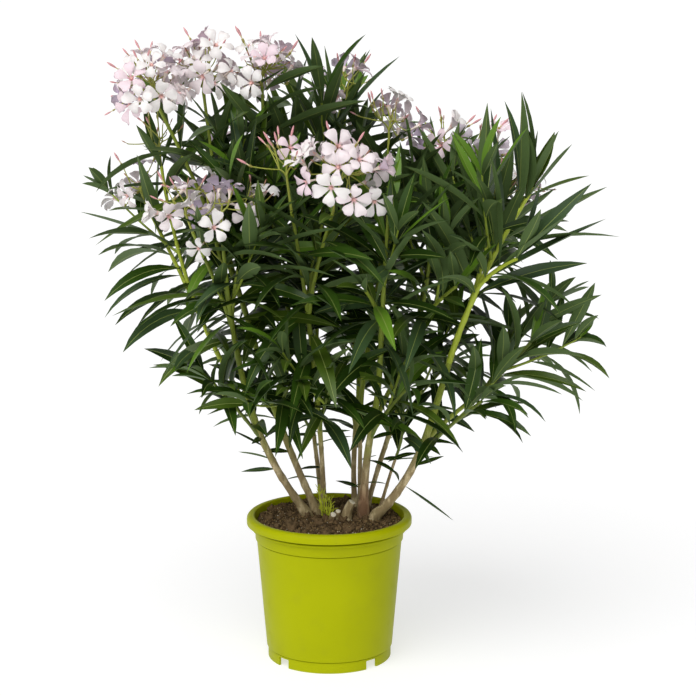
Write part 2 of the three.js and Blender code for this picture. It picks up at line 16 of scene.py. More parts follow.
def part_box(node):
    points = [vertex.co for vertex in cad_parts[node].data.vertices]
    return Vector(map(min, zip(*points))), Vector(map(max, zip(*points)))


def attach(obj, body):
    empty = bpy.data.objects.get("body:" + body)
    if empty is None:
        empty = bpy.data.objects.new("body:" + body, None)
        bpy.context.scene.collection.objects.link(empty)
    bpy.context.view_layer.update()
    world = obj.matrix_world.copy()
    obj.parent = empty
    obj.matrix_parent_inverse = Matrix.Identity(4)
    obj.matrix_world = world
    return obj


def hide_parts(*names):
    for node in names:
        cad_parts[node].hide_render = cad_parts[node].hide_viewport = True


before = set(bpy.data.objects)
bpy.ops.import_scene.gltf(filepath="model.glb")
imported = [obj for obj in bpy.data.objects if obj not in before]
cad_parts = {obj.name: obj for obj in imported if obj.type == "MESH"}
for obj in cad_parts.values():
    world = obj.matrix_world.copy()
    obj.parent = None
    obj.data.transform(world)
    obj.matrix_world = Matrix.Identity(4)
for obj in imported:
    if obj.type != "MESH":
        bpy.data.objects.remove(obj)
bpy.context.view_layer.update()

# %% [markdown]
# The pot stands a little off the origin, because the crown leans. All sizes below are told from the
# middle of the pot's underside, in metres, which keeps the numbers easy to read. Each finished mesh is
# then moved by `POT_AXIS`, so its object can stay at the origin. The reach comes from the model's nodes
# one by one, not from all that the scene holds, so the plant grows alike wherever the script is run.

# %% Find the pot's axis and the compost's level
pot_low, pot_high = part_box("pot")
POT_AXIS = Vector(((pot_low.x + pot_high.x) / 2, (pot_low.y + pot_high.y) / 2, 0))
POT_HEIGHT = pot_high.z
RIM_RADIUS = (pot_high.x - pot_low.x) / 2
COMPOST_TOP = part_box("compost")[1].z
node_boxes = np.array([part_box(node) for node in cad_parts])
REACH_LOW = node_boxes[:, 0].min(axis=0) - np.array(POT_AXIS)
REACH_HIGH = node_boxes[:, 1].max(axis=0) - np.array(POT_AXIS)
print(f"pot {2 * RIM_RADIUS:.3f} m across, compost at {COMPOST_TOP:.3f} m")

# %% [markdown]
# ## Camera, light and floor
# A long lens from almost three metres away sees the plant from slightly above, which keeps its proportions.
# The light is a white studio: soft light from above, a white wall all round the horizon, a broad sun from
# the upper left and a weak one from the right. Suns light a floor evenly out to the horizon, where lamps
# near the plant would leave it grey.

# %% Camera
CAMERA = {"lens": 103.2, "sensor": 36, "place": (0.0272, -2.806, 0.995), "looks_down": 10.84}


def put(name, data):
    """Puts a new object into the scene."""
    thing = bpy.data.objects.new(name, data)
    bpy.context.scene.collection.objects.link(thing)
    return thing


camera_data = bpy.data.cameras.new("camera")
camera_data.lens = CAMERA["lens"]
camera_data.sensor_width = CAMERA["sensor"]
camera = put("camera", camera_data)
camera.location = POT_AXIS + Vector(CAMERA["place"])
camera.rotation_euler = (math.radians(90 - CAMERA["looks_down"]), 0, 0)
bpy.context.scene.camera = camera
bpy.context.scene.view_settings.view_transform = "Standard"
print(f"a camera {-CAMERA['place'][1]} m in front of the pot")


# %% Suns
SUNS = {  # strength, spread, azimuth and elevation
    "key_sun": (2.40, 60, -25, 50),
    "fill_sun": (0.06, 40, 50, 28),
}
SUN_DISTANCE = 3  # a sun shines alike from anywhere, so this only keeps it out of the plant's way


def add_sun(name, strength, spread, azimuth, elevation):
    """A sun that stands at an azimuth round the plant (0 is in front, 90 to the right) and an elevation."""
    data = bpy.data.lights.new(name, "SUN")
    data.energy = strength
    data.angle = math.radians(spread)
    lamp = put(name, data)
    turn, rise = math.radians(azimuth), math.radians(elevation)
    towards = Vector((math.sin(turn) * math.cos(rise), -math.cos(turn) * math.cos(rise), math.sin(rise)))
    lamp.rotation_euler = towards.to_track_quat("Z", "Y").to_euler()
    lamp.location = towards * SUN_DISTANCE


for name, settings in SUNS.items():
    add_sun(name, *settings)


# %% [markdown]
# The sky is plain white. Its strength follows the direction that it comes from: full from the horizon and
# less from above, and less again from the two sides, where darker walls give the pot its round shape.

# %% Sky
SKY = {  # the axis of the direction, the span of it over which the light changes, and the light at both ends
    "up": ("Z", (0.05, 0.20), (1.0, 0.42)),
    "right": ("X", (0.1, 0.9), (1, 0.16)),
    "left": ("X", (-0.2, -0.9), (1, 0.52)),
}
world = bpy.data.worlds.new("white_studio")
world.use_nodes = True
tree = world.node_tree
direction = tree.nodes.new("ShaderNodeTexCoord")
parts = tree.nodes.new("ShaderNodeSeparateXYZ")
tree.links.new(direction.outputs["Generated"], parts.inputs[0])
strength = None
for axis, span, light in SKY.values():
    change = tree.nodes.new("ShaderNodeMapRange")
    tree.links.new(parts.outputs[axis], change.inputs["Value"])
    for name, value in zip(("From Min", "From Max", "To Min", "To Max"), (*span, *light)):
        change.inputs[name].default_value = value
    if strength:
        product = tree.nodes.new("ShaderNodeMath")
        product.operation = "MULTIPLY"
        tree.links.new(strength, product.inputs[0])
        tree.links.new(change.outputs[0], product.inputs[1])
        change = product
    strength = change.outputs[0]
background = tree.nodes["Background"]
tree.links.new(strength, background.inputs["Strength"])
background.inputs["Color"].default_value = (1, 1, 1, 1)
bpy.context.scene.world = world
print(f"{len(bpy.data.lights)} suns, a sky of {len(tree.nodes)} nodes")


# %% [markdown]
# ## Finishes
# A finish is a material with one Principled shader. Patterns need a little arithmetic between nodes, and
# drawing that as a graph is slow to read, so `Wire` wraps a node's output and turns `+`, `-` and `*` into
# Math nodes. Every other node comes from one method, `Finish.node`.

# %% Finishes from plain Python expressions
def paint(code):
    """A linear colour from a hex code such as "b2c01e"."""
    parts = [int(code[i : i + 2], 16) / 255 for i in (0, 2, 4)]
    return tuple(c / 12.92 if c <= 0.04045 else ((c + 0.055) / 1.055) ** 2.4 for c in parts) + (1,)


class Wire:
    """One output of a node. Arithmetic on it adds Math nodes."""

    def __init__(self, finish, socket):
        self.finish = finish
        self.socket = socket

    def maths(self, operation, first, second):
        """A Math node on two wires or numbers."""
        return self.finish.node("ShaderNodeMath", {"operation": operation}, {0: first, 1: second})

    def __add__(self, other):
        return self.maths("ADD", self, other)

    def __sub__(self, other):
        return self.maths("SUBTRACT", self, other)

    def __rsub__(self, other):
        return self.maths("SUBTRACT", other, self)

    def __mul__(self, other):
        return self.maths("MULTIPLY", self, other)

    __radd__ = __add__


# %% One material
class Finish:
    """A material with one Principled shader."""

    def __init__(self, name, colour, roughness, **values):
        self.material = bpy.data.materials.new(name)
        self.material.use_nodes = True
        self.tree = self.material.node_tree
        self.shader = self.tree.nodes["Principled BSDF"]
        self.set("Base Color", colour)
        self.set("Roughness", roughness)
        for socket, value in values.items():
            self.set(socket.replace("_", " "), value)

    def set(self, name, value):
        """Sets or links an input of the shader."""
        self.connect(self.shader.inputs[name], value)

    def connect(self, socket, value):
        """Links a wire, or sets a plain value. A string is a colour's hex code."""
        if isinstance(value, Wire):
            self.tree.links.new(value.socket, socket)
        else:
            socket.default_value = paint(value) if isinstance(value, str) else value

    def node(self, kind, settings=None, sockets=None, output=0):
        """Adds a node, sets its settings, then the values or links of its sockets."""
        made = self.tree.nodes.new(kind)
        for name, value in (settings or {}).items():
            setattr(made, name, value)
        for key, value in (sockets or {}).items():
            self.connect(made.inputs[key], value)
        return Wire(self, made.outputs[output])

    def place(self, stretch=(1, 1, 1)):
        """Object coordinates, stretched."""
        plain = self.node("ShaderNodeTexCoord", output="Object")
        return self.node("ShaderNodeMapping", None, {"Vector": plain, "Scale": stretch})

    def noise(self, scale, detail=3.0, stretch=(1, 1, 1)):
        """Soft noise from 0 to 1."""
        sockets = {"Vector": self.place(stretch), "Scale": scale, "Detail": detail}
        return self.node("ShaderNodeTexNoise", None, sockets)

    def ramp(self, value, low, high):
        """0 below low, 1 above high, and smooth between."""
        sockets = {"Value": value, "From Min": low, "From Max": high}
        return self.node("ShaderNodeMapRange", {"interpolation_type": "SMOOTHSTEP"}, sockets)

    def mix(self, factor, first, second):
        """A colour between two."""
        return self.node("ShaderNodeMix", {"data_type": "RGBA"}, {0: factor, 6: first, 7: second}, 2)

    def bump(self, height, distance, strength=1.0):
        """Shades the surface as if a pattern raised it."""
        sockets = {"Height": height, "Distance": distance, "Strength": strength}
        self.set("Normal", self.node("ShaderNodeBump", None, sockets))


# %% [markdown]
# ## The floor
# A white table that reaches to the horizon. It glows a little, as a table lit from below does, so the
# plant's shadow stays pale on it.

# %% Floor
FLOOR = {"reach": 90, "colour": "b8b8b8", "glow": 0.62}


def mesh_from(bm):
    """A mesh of what a bmesh holds, which is then freed."""
    mesh = bpy.data.meshes.new("piece")
    bm.to_mesh(mesh)
    bm.free()
    return mesh


floor_finish = Finish("floor_white", FLOOR["colour"], 0.95, Specular_IOR_Level=0.1)
floor_finish.set("Emission Color", "ffffff")
floor_finish.set("Emission Strength", FLOOR["glow"])
bm = bmesh.new()
bmesh.ops.create_grid(bm, x_segments=1, y_segments=1, size=FLOOR["reach"])
floor = put("floor", mesh_from(bm))
floor.data.materials.append(floor_finish.material)
print(f"a floor {2 * FLOOR['reach']} m across")

# %% [markdown]
# ## Adding a piece
# Every piece of the plant goes through one function: it gives the mesh its finishes, rounds its shading
# but keeps sharp creases, moves it onto the pot's axis, and ties it to the one body of the model. The
# nodes are the shapes of the solid model that it takes over.

# %% Adding a finished piece
def add_piece(name, mesh, finishes, nodes=(), crease=50):
    """Adds a piece. Edges whose faces meet at more than the crease, in degrees, look sharp."""
    mesh.name = name
    for finish in finishes:
        mesh.materials.append(finish.material)
    mesh.transform(Matrix.Translation(POT_AXIS))
    mesh.shade_smooth()
    mesh.set_sharp_from_angle(angle=math.radians(crease))
    piece = put(name, mesh)
    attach(piece, "root")
    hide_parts(*nodes)
    print(f"{name}: {len(mesh.loops) - 2 * len(mesh.polygons)} triangles")


# %% [markdown]
# ## The pot
# A nursery pot is blow- or injection-moulded plastic: a thick rolled rim, a band under it, a wall that
# tapers to a foot ring, and notches in the ring for the water. It could be lofted ring by ring, but a
# turned shape is quickest as half a section that is spun round the axis. The notches are cut afterwards
# by a Boolean modifier, which is applied.

# %% Turn the pot
WALL = 0.0025
RIM_HEIGHT = 0.015
NECK_RADIUS, NECK_HEIGHT = 0.1075, 0.0205  # the band under the rim
BASE_RADIUS, FOOT_HEIGHT = 0.092, 0.017  # the ring that the pot stands on
STEP = 0.002  # how far the wall stands back from the band and from the ring
FLOOR_HEIGHT = 0.015  # the underside of the pot's raised floor
NOTCH = {"count": 4, "width": 0.020, "height": 0.013, "first": 43, "depth": 0.030, "corner": 0.0012}
ROUND = 112  # faces round the pot


def arc(centre_radius, centre_height, radius, start, end, steps):
    """Points (radius, height) round a corner of the pot's section, from one angle to another."""
    angles = np.radians(np.linspace(start, end, steps))
    return [(centre_radius + radius * math.cos(a), centre_height + radius * math.sin(a)) for a in angles]


def wall_radius(height):
    """The outside of the tapering wall."""
    top = POT_HEIGHT - RIM_HEIGHT - NECK_HEIGHT
    share = (height - FOOT_HEIGHT) / (top - FOOT_HEIGHT)
    return BASE_RADIUS + (NECK_RADIUS - STEP - BASE_RADIUS) * share


def groove(radius, height, deep=0.0011, high=0.0012):
    """A shallow groove that shades a step of the pot's section, told upwards."""
    return [
        (radius, height - high), (radius - deep, height - high * 0.8), (radius - deep, height - high * 0.2),
    ]


def pot_section():
    """Half the pot's section: up the outside, over the rim and down the inside."""
    rim_foot = POT_HEIGHT - RIM_HEIGHT
    neck_foot = rim_foot - NECK_HEIGHT
    foot_radius = BASE_RADIUS - STEP
    edge = 0.0006
    roll = 0.0062
    ledge = RIM_RADIUS - 0.0070
    outside = [
        (0, FLOOR_HEIGHT),
        (foot_radius - WALL - 0.001, FLOOR_HEIGHT),
        *arc(foot_radius - WALL - 0.001 + edge, edge, edge, 180, 270, 3),
        *arc(foot_radius - edge, edge, edge, 270, 360, 3),
        *groove(foot_radius, FOOT_HEIGHT - 0.0004, 0.0008),
        *arc(BASE_RADIUS - edge, FOOT_HEIGHT + edge, edge, 270, 360, 3),
        (wall_radius(neck_foot * 0.5), neck_foot * 0.5),
        *groove(wall_radius(neck_foot), neck_foot - 0.0004),
        *arc(NECK_RADIUS - edge, neck_foot + edge, edge, 270, 360, 3),
        *groove(NECK_RADIUS + 0.0006, rim_foot - 0.0050),
        *arc(ledge - edge, rim_foot - 0.0044, edge, 270, 360, 3),
        *arc(ledge - edge, rim_foot - 0.0024, edge, 0, 90, 3),
        (NECK_RADIUS + 0.0012, rim_foot - 0.0014),
        (NECK_RADIUS + 0.0012, rim_foot + 0.0016),
        *arc(RIM_RADIUS - 0.0010, rim_foot + 0.0028, 0.0010, 270, 360, 4),
        *arc(RIM_RADIUS - roll, POT_HEIGHT - roll, roll, 0, 90, 8),
        *arc(RIM_RADIUS - 0.0085, POT_HEIGHT - 0.0030, 0.0030, 90, 180, 5),
    ]
    inside = [
        (NECK_RADIUS + 0.0005 - WALL, rim_foot - 0.002),
        (wall_radius(FOOT_HEIGHT) - WALL - 0.0005, FLOOR_HEIGHT + WALL),
        (0, FLOOR_HEIGHT + WALL),
    ]
    return outside + inside


# %% Spin a section, and cut the notches
def turn_section(section, steps):
    """Spins a section of (radius, height) points, which starts and ends on the axis, into a closed shell."""
    bm = bmesh.new()
    corners = [bm.verts.new((radius, 0, height)) for radius, height in section]
    edges = [bm.edges.new(pair) for pair in zip(corners, corners[1:])]
    bmesh.ops.spin(
        bm, geom=corners + edges, cent=(0, 0, 0), axis=(0, 0, 1), angle=math.tau, steps=steps, use_merge=True
    )
    bmesh.ops.remove_doubles(bm, verts=bm.verts, dist=1e-6)
    bmesh.ops.recalc_face_normals(bm, faces=bm.faces)
    return bm


def cut_notches(mesh):
    """The pot's mesh with the notches cut out of its foot ring."""
    bm = bmesh.new()
    for index in range(NOTCH["count"]):
        turn = Matrix.Rotation(math.radians(NOTCH["first"] + 360 / NOTCH["count"] * index), 4, "Z")
        place = Matrix.Translation((BASE_RADIUS - STEP, 0, 0))
        size = Matrix.Diagonal((NOTCH["depth"], NOTCH["width"], 2 * NOTCH["height"], 1))
        made = bmesh.ops.create_cube(bm, size=1, matrix=turn @ place @ size)
        upright = [e for v in made["verts"] for e in v.link_edges if e.verts[0].co.z * e.verts[1].co.z > 0]
        tops = [e for e in set(upright) if e.verts[0].co.z > 0]
        bmesh.ops.bevel(
            bm, geom=tops, affect="EDGES", offset=NOTCH["corner"], segments=3, profile=0.5, material=-1
        )
    cutter = put("notch_cutter", mesh_from(bm))
    pot = put("pot_blank", mesh)
    cut = pot.modifiers.new("notches", "BOOLEAN")
    cut.operation = "DIFFERENCE"
    cut.solver = "EXACT"
    cut.object = cutter
    done = bpy.data.meshes.new_from_object(pot.evaluated_get(bpy.context.evaluated_depsgraph_get()))
    for thing in (cutter, pot):
        bpy.data.objects.remove(thing)
    return done


# %% [markdown]
# The plastic is dyed right through, a yellowish lime green with a soft gloss. What keeps it from looking
# like paint is small: the mould leaves a fine grain and very faint long waves, and dust and fingers dull
# it in patches, so both bump and roughness follow noise.

# %% The pot's plastic
pot_finish = Finish("pot_plastic", "a5aa04", 0.42, Specular_IOR_Level=0.06)
patches = pot_finish.noise(14, 4)
dust = pot_finish.ramp(pot_finish.noise(38, 6), 0.50, 0.78)
lime = pot_finish.mix(patches, "a0a603", "abb104")
pot_finish.set("Base Color", pot_finish.mix(dust * 0.12, lime, "87822e"))
pot_finish.set("Roughness", 0.36 + patches * 0.10 + dust * 0.14)
grain = pot_finish.noise(1400, 2)
waves = pot_finish.noise(22, 1, (1, 1, 0.25))
pot_finish.bump(grain * 0.15 + waves, 0.0006, 0.5)

pot_mesh = cut_notches(mesh_from(turn_section(pot_section(), ROUND)))
add_piece("pot_shell", pot_mesh, [pot_finish], ["pot"], crease=40)

# %% [markdown]
# ## The compost
# Potting compost is dark crumbs of peat and bark, with pale fibres and a few light grains. One bumpy
# turned shape gives the surface, and several thousand small lumps lie on it. Each lump is one of a few
# templates, so the work is in arrays: `joined` writes all the copies of a template into one mesh.

# %% Random draws and many copies of a template
draw = np.random.default_rng(20260)


class Template:
    """A small shape as arrays: its corners, and its faces with their finish."""

    def __init__(self, bm):
        bm.verts.index_update()
        self.corners = np.array([v.co for v in bm.verts])
        self.loops = np.array([v.index for f in bm.faces for v in f.verts])
        self.counts = np.array([len(f.verts) for f in bm.faces])
        self.finish = np.array([f.material_index for f in bm.faces])
        bm.free()


def joined(template, copies):
    """One mesh of all copies: an array of (how many, corners, 3) places for the template's corners."""
    many, corners, _ = copies.shape
    mesh = bpy.data.meshes.new("joined")
    loops = (template.loops[None, :] + np.arange(many)[:, None] * corners).ravel()
    counts = np.tile(template.counts, many)
    mesh.vertices.add(many * corners)
    mesh.vertices.foreach_set("co", copies.astype(np.float32).ravel())
    mesh.loops.add(len(loops))
    mesh.loops.foreach_set("vertex_index", loops.astype(np.int32))
    mesh.polygons.add(len(counts))
    mesh.polygons.foreach_set("loop_start", (np.cumsum(counts) - counts).astype(np.int32))
    mesh.polygons.foreach_set("material_index", np.tile(template.finish, many).astype(np.int32))
    mesh.update(calc_edges=True)
    mesh.validate()
    return mesh


def merged(meshes):
    """A bmesh of several meshes, which are no longer needed on their own."""
    bm = bmesh.new()
    for mesh in meshes:
        bm.from_mesh(mesh)
        bpy.data.meshes.remove(mesh)
    return bm


def joined_kinds(parts):
    """One mesh of several (template, copies) pairs."""
    return mesh_from(merged(joined(*part) for part in parts))


def pick(things, key):
    """One value of each thing, as an array."""
    return np.array([thing[key] for thing in things])


def unit(vectors):
    """Vectors of the same directions, one long."""
    return vectors / np.linalg.norm(vectors, axis=-1, keepdims=True)


def jitter(amount):
    """A random share of an amount, up or down."""
    return draw.uniform(-amount, amount)


def random_turns(many):
    """Random rotation matrices."""
    w, x, y, z = unit(draw.normal(size=(many, 4))).T
    rows = [
        [1 - 2 * (y * y + z * z), 2 * (x * y - z * w), 2 * (x * z + y * w)],
        [2 * (x * y + z * w), 1 - 2 * (x * x + z * z), 2 * (y * z - x * w)],
        [2 * (x * z - y * w), 2 * (y * z + x * w), 1 - 2 * (x * x + y * y)],
    ]
    return np.array(rows).transpose(2, 0, 1)


# %% The compost's surface
LUMPS = {"per_metre": 62, "height": 0.0032}
HEAPS = {"per_metre": 17, "height": 0.0038}
SETTLED = 0.0014  # how far the surface lies under the solid's flat top, on the whole
EDGE = {"from": 0.072, "to": 0.100, "sinks": 0.0030}  # the compost sinks a little towards the wall
RISE_TO_BACK = 0.045


def soil_height(x, y):
    """How high the compost lies at a place, from the pot's foot."""
    edge = max(0, math.hypot(x, y) - EDGE["from"]) / (EDGE["to"] - EDGE["from"])
    lumps = noise.fractal(Vector((x * LUMPS["per_metre"], y * LUMPS["per_metre"], 3.1)), 0.9, 2.0, 4)
    heaps = noise.noise(Vector((x * HEAPS["per_metre"], y * HEAPS["per_metre"], 9.7)))
    level = COMPOST_TOP - EDGE["sinks"] * edge + RISE_TO_BACK * max(0, y)
    return level + LUMPS["height"] * lumps + HEAPS["height"] * heaps - SETTLED


SOIL_RADIUS = wall_radius(COMPOST_TOP) - WALL - 0.0009
soil_floor = FLOOR_HEIGHT + WALL + 0.0003
section = [(SOIL_RADIUS * share, COMPOST_TOP) for share in np.linspace(0, 1, 60)]
section += [(SOIL_RADIUS - 0.001, COMPOST_TOP - 0.02), (BASE_RADIUS - WALL - 0.0015, soil_floor)]
section += [(0, soil_floor)]
bm = turn_section(section, 150)
for vert in bm.verts:
    if vert.co.z > COMPOST_TOP - 0.001:
        vert.co.z = soil_height(vert.co.x, vert.co.y)

soil_finish = Finish("compost_peat", "3a2b1e", 0.95, Specular_IOR_Level=0.2)
soil_spots = soil_finish.noise(420, 5)
soil_tone = soil_finish.mix(soil_spots, "251a10", "786345")
soil_finish.set("Base Color", soil_tone)
soil_finish.bump(soil_finish.noise(800, 4) + soil_spots, 0.0014)
add_piece("compost_bed", mesh_from(bm), [soil_finish], ["compost"], crease=180)


# %% Crumbs, clods and chips
def crumb_template(subdivisions=1, rough=0.3, flat=0.65):
    """An uneven lump, about two across."""
    bm = bmesh.new()
    bmesh.ops.create_icosphere(bm, subdivisions=subdivisions, radius=1)
    seed = Vector(draw.uniform(0, 50, 3))
    for vert in bm.verts:
        dents = noise.noise(vert.co * 1.4 + seed) + 0.5 * noise.noise(vert.co * 4 + seed)
        vert.co *= 1 + rough * dents
        vert.co *= draw.uniform(1 - rough / 2, 1 + rough / 2)
    bmesh.ops.scale(bm, vec=(1.0, draw.uniform(0.65, 1), flat), verts=bm.verts)
    return Template(bm)


def on_soil(sizes, sunk=0.1):
    """Random places on the compost, for things of these sizes."""
    away = SOIL_RADIUS * 0.98 * np.sqrt(draw.random(len(sizes)))
    turn = draw.uniform(0, math.tau, len(sizes))
    x, y = away * np.cos(turn), away * np.sin(turn)
    z = np.array([soil_height(*xy) for xy in zip(x, y)]) + sizes * (0.5 - sunk)
    return np.stack([x, y, z], axis=1)


def crumbs(many, smallest, largest, kinds=3, sunk=0.1, **shape):
    """Lumps on the compost: many small ones, fewer large ones."""
    parts = []
    for _ in range(kinds):
        sizes = smallest + (largest - smallest) * draw.random(many // kinds) ** 3
        template = crumb_template(**shape)
        turned = np.einsum("kij,nj->kni", random_turns(len(sizes)), template.corners)
        places = on_soil(sizes, sunk)
        parts.append((template, places[:, None, :] + turned * sizes[:, None, None]))
    return joined_kinds(parts)


def earth(name, dark, light, scale=260, detail=2):
    """A dull finish, speckled between two tones."""
    finish = Finish(name, dark, 0.93, Specular_IOR_Level=0.2)
    finish.set("Base Color", finish.mix(finish.noise(scale, detail), dark, light))
    return finish


# %% Clods, crumbs, grit and chips
clod_shape = {"kinds": 5, "sunk": 0.38, "subdivisions": 3, "rough": 0.6}
LOOSE = {  # how many, smallest, largest, other settings of `crumbs`, what `earth` needs, and the crease
    "clods": (150, 0.0028, 0.0088, clod_shape, ("earth_clod", "2d2012", "8a7150", 600, 5), 180),
    "crumbs_dark": (4300, 0.0006, 0.0028, {"kinds": 4}, ("earth_dark", "1f160c", "6c5638"), 120),
    "crumbs_brown": (2500, 0.0006, 0.0025, {}, ("earth_brown", "53412a", "a1865a"), 120),
    "crumbs_pale": (560, 0.0004, 0.0015, {}, ("earth_pale", "9b8a68", "ddd3bc", 200, 1), 120),
    "grit": (46, 0.0007, 0.0015, {"sunk": 0}, ("grit_white", "d5cfc0", "f1eee4", 200, 1), 120),
    "bark_chips": (
        300, 0.0014, 0.0040, {"flat": 0.16, "rough": 0.5}, ("chip_brown", "42301f", "957955", 300, 4), 60),
}
for name, (many, smallest, largest, settings, look, crease) in LOOSE.items():
    add_piece(name, crumbs(many, smallest, largest, **settings), [earth(*look)], crease=crease)

# %% [markdown]
# ## The limbs
# Each stem stands on the compost, bows outwards and ends where its bough grows on. A limb's middle line
# is a curve of three points, and every shape along it follows from that: its direction, and two axes
# square to it. The same tables as in the source say where the limbs are, so the bark covers the solids.

# %% The limbs' tables
GROUND = COMPOST_TOP + 0.0003
STEMS = {  # foot (x, y), the point that it bows towards, its tip, and its radii at foot and tip
    "stem_left_outer": ((-0.029, 0.007), (-0.083, -0.002, 0.278), (-0.107, -0.012, 0.356), (0.006, 0.0052)),
    "stem_left_inner": ((-0.016, 0.018), (-0.048, 0.024, 0.272), (-0.080, 0.032, 0.362), (0.0058, 0.005)),
    "stem_mid_left": ((-0.011, 0.062), (-0.021, 0.060, 0.300), (-0.029, 0.060, 0.365), (0.005, 0.0042)),
    "stem_mid_right": ((-0.008, 0.039), (-0.010, 0.024, 0.290), (-0.015, -0.002, 0.358), (0.0052, 0.0044)),
    "stem_back": ((0.038, 0.064), (0.032, 0.070, 0.264), (0.042, 0.088, 0.356), (0.0052, 0.0044)),
    "stem_mid_thin": ((0.045, 0.036), (0.044, 0.034, 0.278), (0.046, 0.028, 0.360), (0.0046, 0.004)),
    "stem_centre": ((0.050, 0.008), (0.050, 0.002, 0.284), (0.063, -0.016, 0.352), (0.007, 0.0052)),
    "stem_back_right": ((0.055, 0.054), (0.070, 0.062, 0.262), (0.099, 0.084, 0.345), (0.0044, 0.0038)),
    "stem_right": ((0.062, -0.008), (0.118, -0.006, 0.254), (0.146, -0.026, 0.356), (0.007, 0.0056)),
    "stem_low_right": ((0.073, 0.027), (0.086, 0.020, 0.260), (0.098, 0.008, 0.298), (0.0026, 0.0023)),
}
BOUGHS = {  # the limb that it grows from, at a share of its length or None for its tip, its tip, its radii
    "bough_left_front": ("stem_left_outer", None, (-0.126, -0.034, 0.438), (0.0052, 0.0046)),
    "bough_left_side": ("stem_left_outer", 0.84, (-0.152, 0.014, 0.430), (0.004, 0.0036)),
    "bough_left_top": ("stem_left_inner", None, (-0.104, 0.036, 0.442), (0.005, 0.0046)),
    "bough_top_left": ("stem_mid_left", None, (-0.044, 0.054, 0.440), (0.0042, 0.0038)),
    "bough_top_centre": ("stem_mid_left", 0.84, (-0.022, 0.094, 0.432), (0.0036, 0.0034)),
    "bough_centre_front": ("stem_mid_right", None, (-0.022, -0.034, 0.446), (0.0044, 0.0038)),
    "bough_back": ("stem_back", None, (0.036, 0.122, 0.442), (0.0042, 0.0036)),
    "bough_back_left": ("stem_back", 0.82, (-0.008, 0.132, 0.428), (0.0036, 0.0034)),
    "bough_back_centre": ("stem_mid_thin", None, (0.056, 0.042, 0.446), (0.004, 0.0038)),
    "bough_centre": ("stem_centre", None, (0.072, -0.044, 0.438), (0.0052, 0.0046)),
    "bough_centre_right": ("stem_centre", 0.86, (0.102, -0.014, 0.430), (0.004, 0.0036)),
    "bough_back_right": ("stem_back_right", None, (0.120, 0.100, 0.424), (0.0038, 0.0034)),
    "bough_right": ("stem_right", None, (0.170, -0.046, 0.446), (0.0056, 0.0048)),
    "bough_right_low": ("stem_right", 0.8, (0.196, -0.014, 0.378), (0.004, 0.0034)),
}
print(f"{len(STEMS)} stems, {len(BOUGHS)} boughs")


# %% Curves of three points
def point_on(curve, share):
    """The point at a share of a curve. Curves are (..., 3, 3) and shares broadcast with (...)."""
    t = np.asarray(share, float)[..., None]
    return (1 - t) ** 2 * curve[..., 0, :] + 2 * t * (1 - t) * curve[..., 1, :] + t**2 * curve[..., 2, :]


def heading_on(curve, share):
    """The unit direction at a share of a curve."""
    t = np.asarray(share, float)[..., None]
    first = curve[..., 1, :] - curve[..., 0, :]
    second = curve[..., 2, :] - curve[..., 1, :]
    return unit((1 - t) * first + t * second)


def both_on(curve, share):
    """The point and the direction together."""
    return point_on(curve, share), heading_on(curve, share)


def length_of(curve):
    """The length of one curve, measured over short chords."""
    points = point_on(curve[None], np.linspace(0, 1, 21))
    return float(np.linalg.norm(np.diff(points, axis=0), axis=1).sum())


def cross_axes(heading):
    """Two unit vectors square to a heading, the same way round all along a limb."""
    right = np.array([1.0, 0, 0])
    across = unit(right - heading * heading[..., :1])
    return across, np.cross(across, heading)


def beside_at(heading, turn):
    """The direction square to a heading, at a turn round it."""
    across, beside = cross_axes(heading)
    return across * math.cos(turn) + beside * math.sin(turn)


def leaned(heading, turn, lean):
    """A heading that is leaned over by an angle, to the side at a turn round it."""
    return heading * math.cos(lean) + beside_at(heading, turn) * math.sin(lean)


PULL = {"on": 0.45, "off": 0.35}  # how far a limb keeps its first direction, on from a tip or off a side


def grow_from(parent, share, tip):
    """The curve of a limb that grows on from another's tip (share None), or springs from its side."""
    at = 1 if share is None else share
    start, heading = both_on(parent, at)
    end = np.array(tip, float)
    if share is not None:
        heading = unit(heading + unit(end - start))
    pull = np.linalg.norm(end - start) * PULL["on" if share is None else "off"]
    return np.array([start, start + heading * pull, end])


# %% Grow the limbs
limbs = {}  # name -> (curve, radii)
for name, (foot, bow, tip, radii) in STEMS.items():
    limbs[name] = (np.array([(*foot, GROUND), bow, tip]), radii)
for name, (parent, share, tip, radii) in BOUGHS.items():
    limbs[name] = (grow_from(limbs[parent][0], share, tip), radii)
print(f"{len(limbs)} limbs")

# %% [markdown]
# Oleander bark is smooth and grey-brown, ringed where whorls of leaves once sat, and it turns olive and
# then green higher up, where the wood is young. A painted bump would leave the outline straight, so the
# relief is real: a cylinder with fine rings is bent along the limb and its corners are pushed in and out.


# %% Bark with real relief
KNEES = {  # how far along a stem its foot bulges, how far the bulge stands out, and how long it is
    "stem_right": ((0.012, 0.0034, 0.010), (0.036, 0.0016, 0.007), (0.060, 0.0008, 0.005)),
    "stem_centre": ((0.012, 0.0034, 0.013), (0.034, 0.0010, 0.006)),
    "stem_left_outer": ((0.010, 0.0030, 0.011), (0.034, 0.0012, 0.007), (0.070, 0.0009, 0.006)),
    "stem_left_inner": ((0.012, 0.0024, 0.011), (0.052, 0.0010, 0.005)),
}
RING_STEP = 0.0017  # between the rings of corners along a limb
FLARE = {"out": 0.0010, "long": 0.009}  # a foot is wider than its stem, by this much at the ground
LOBES = {"out": 0.0014, "long": 0.012}  # and it has lobes where roots begin
BURIED = {"down": 0.006, "long": 0.004}  # its lowest rings reach down into the compost
COLLAR = {"out": 0.0012, "long": 0.006}
SLENDER = 0.92  # the bark's radius as a share of the solid's, which leaves room for rings and bulges
RELIEF = {"flutes": 0.00032, "cracks": 0.00012, "rings": 0.00046, "ring_gap": 0.024, "ring_width": 0.0019}
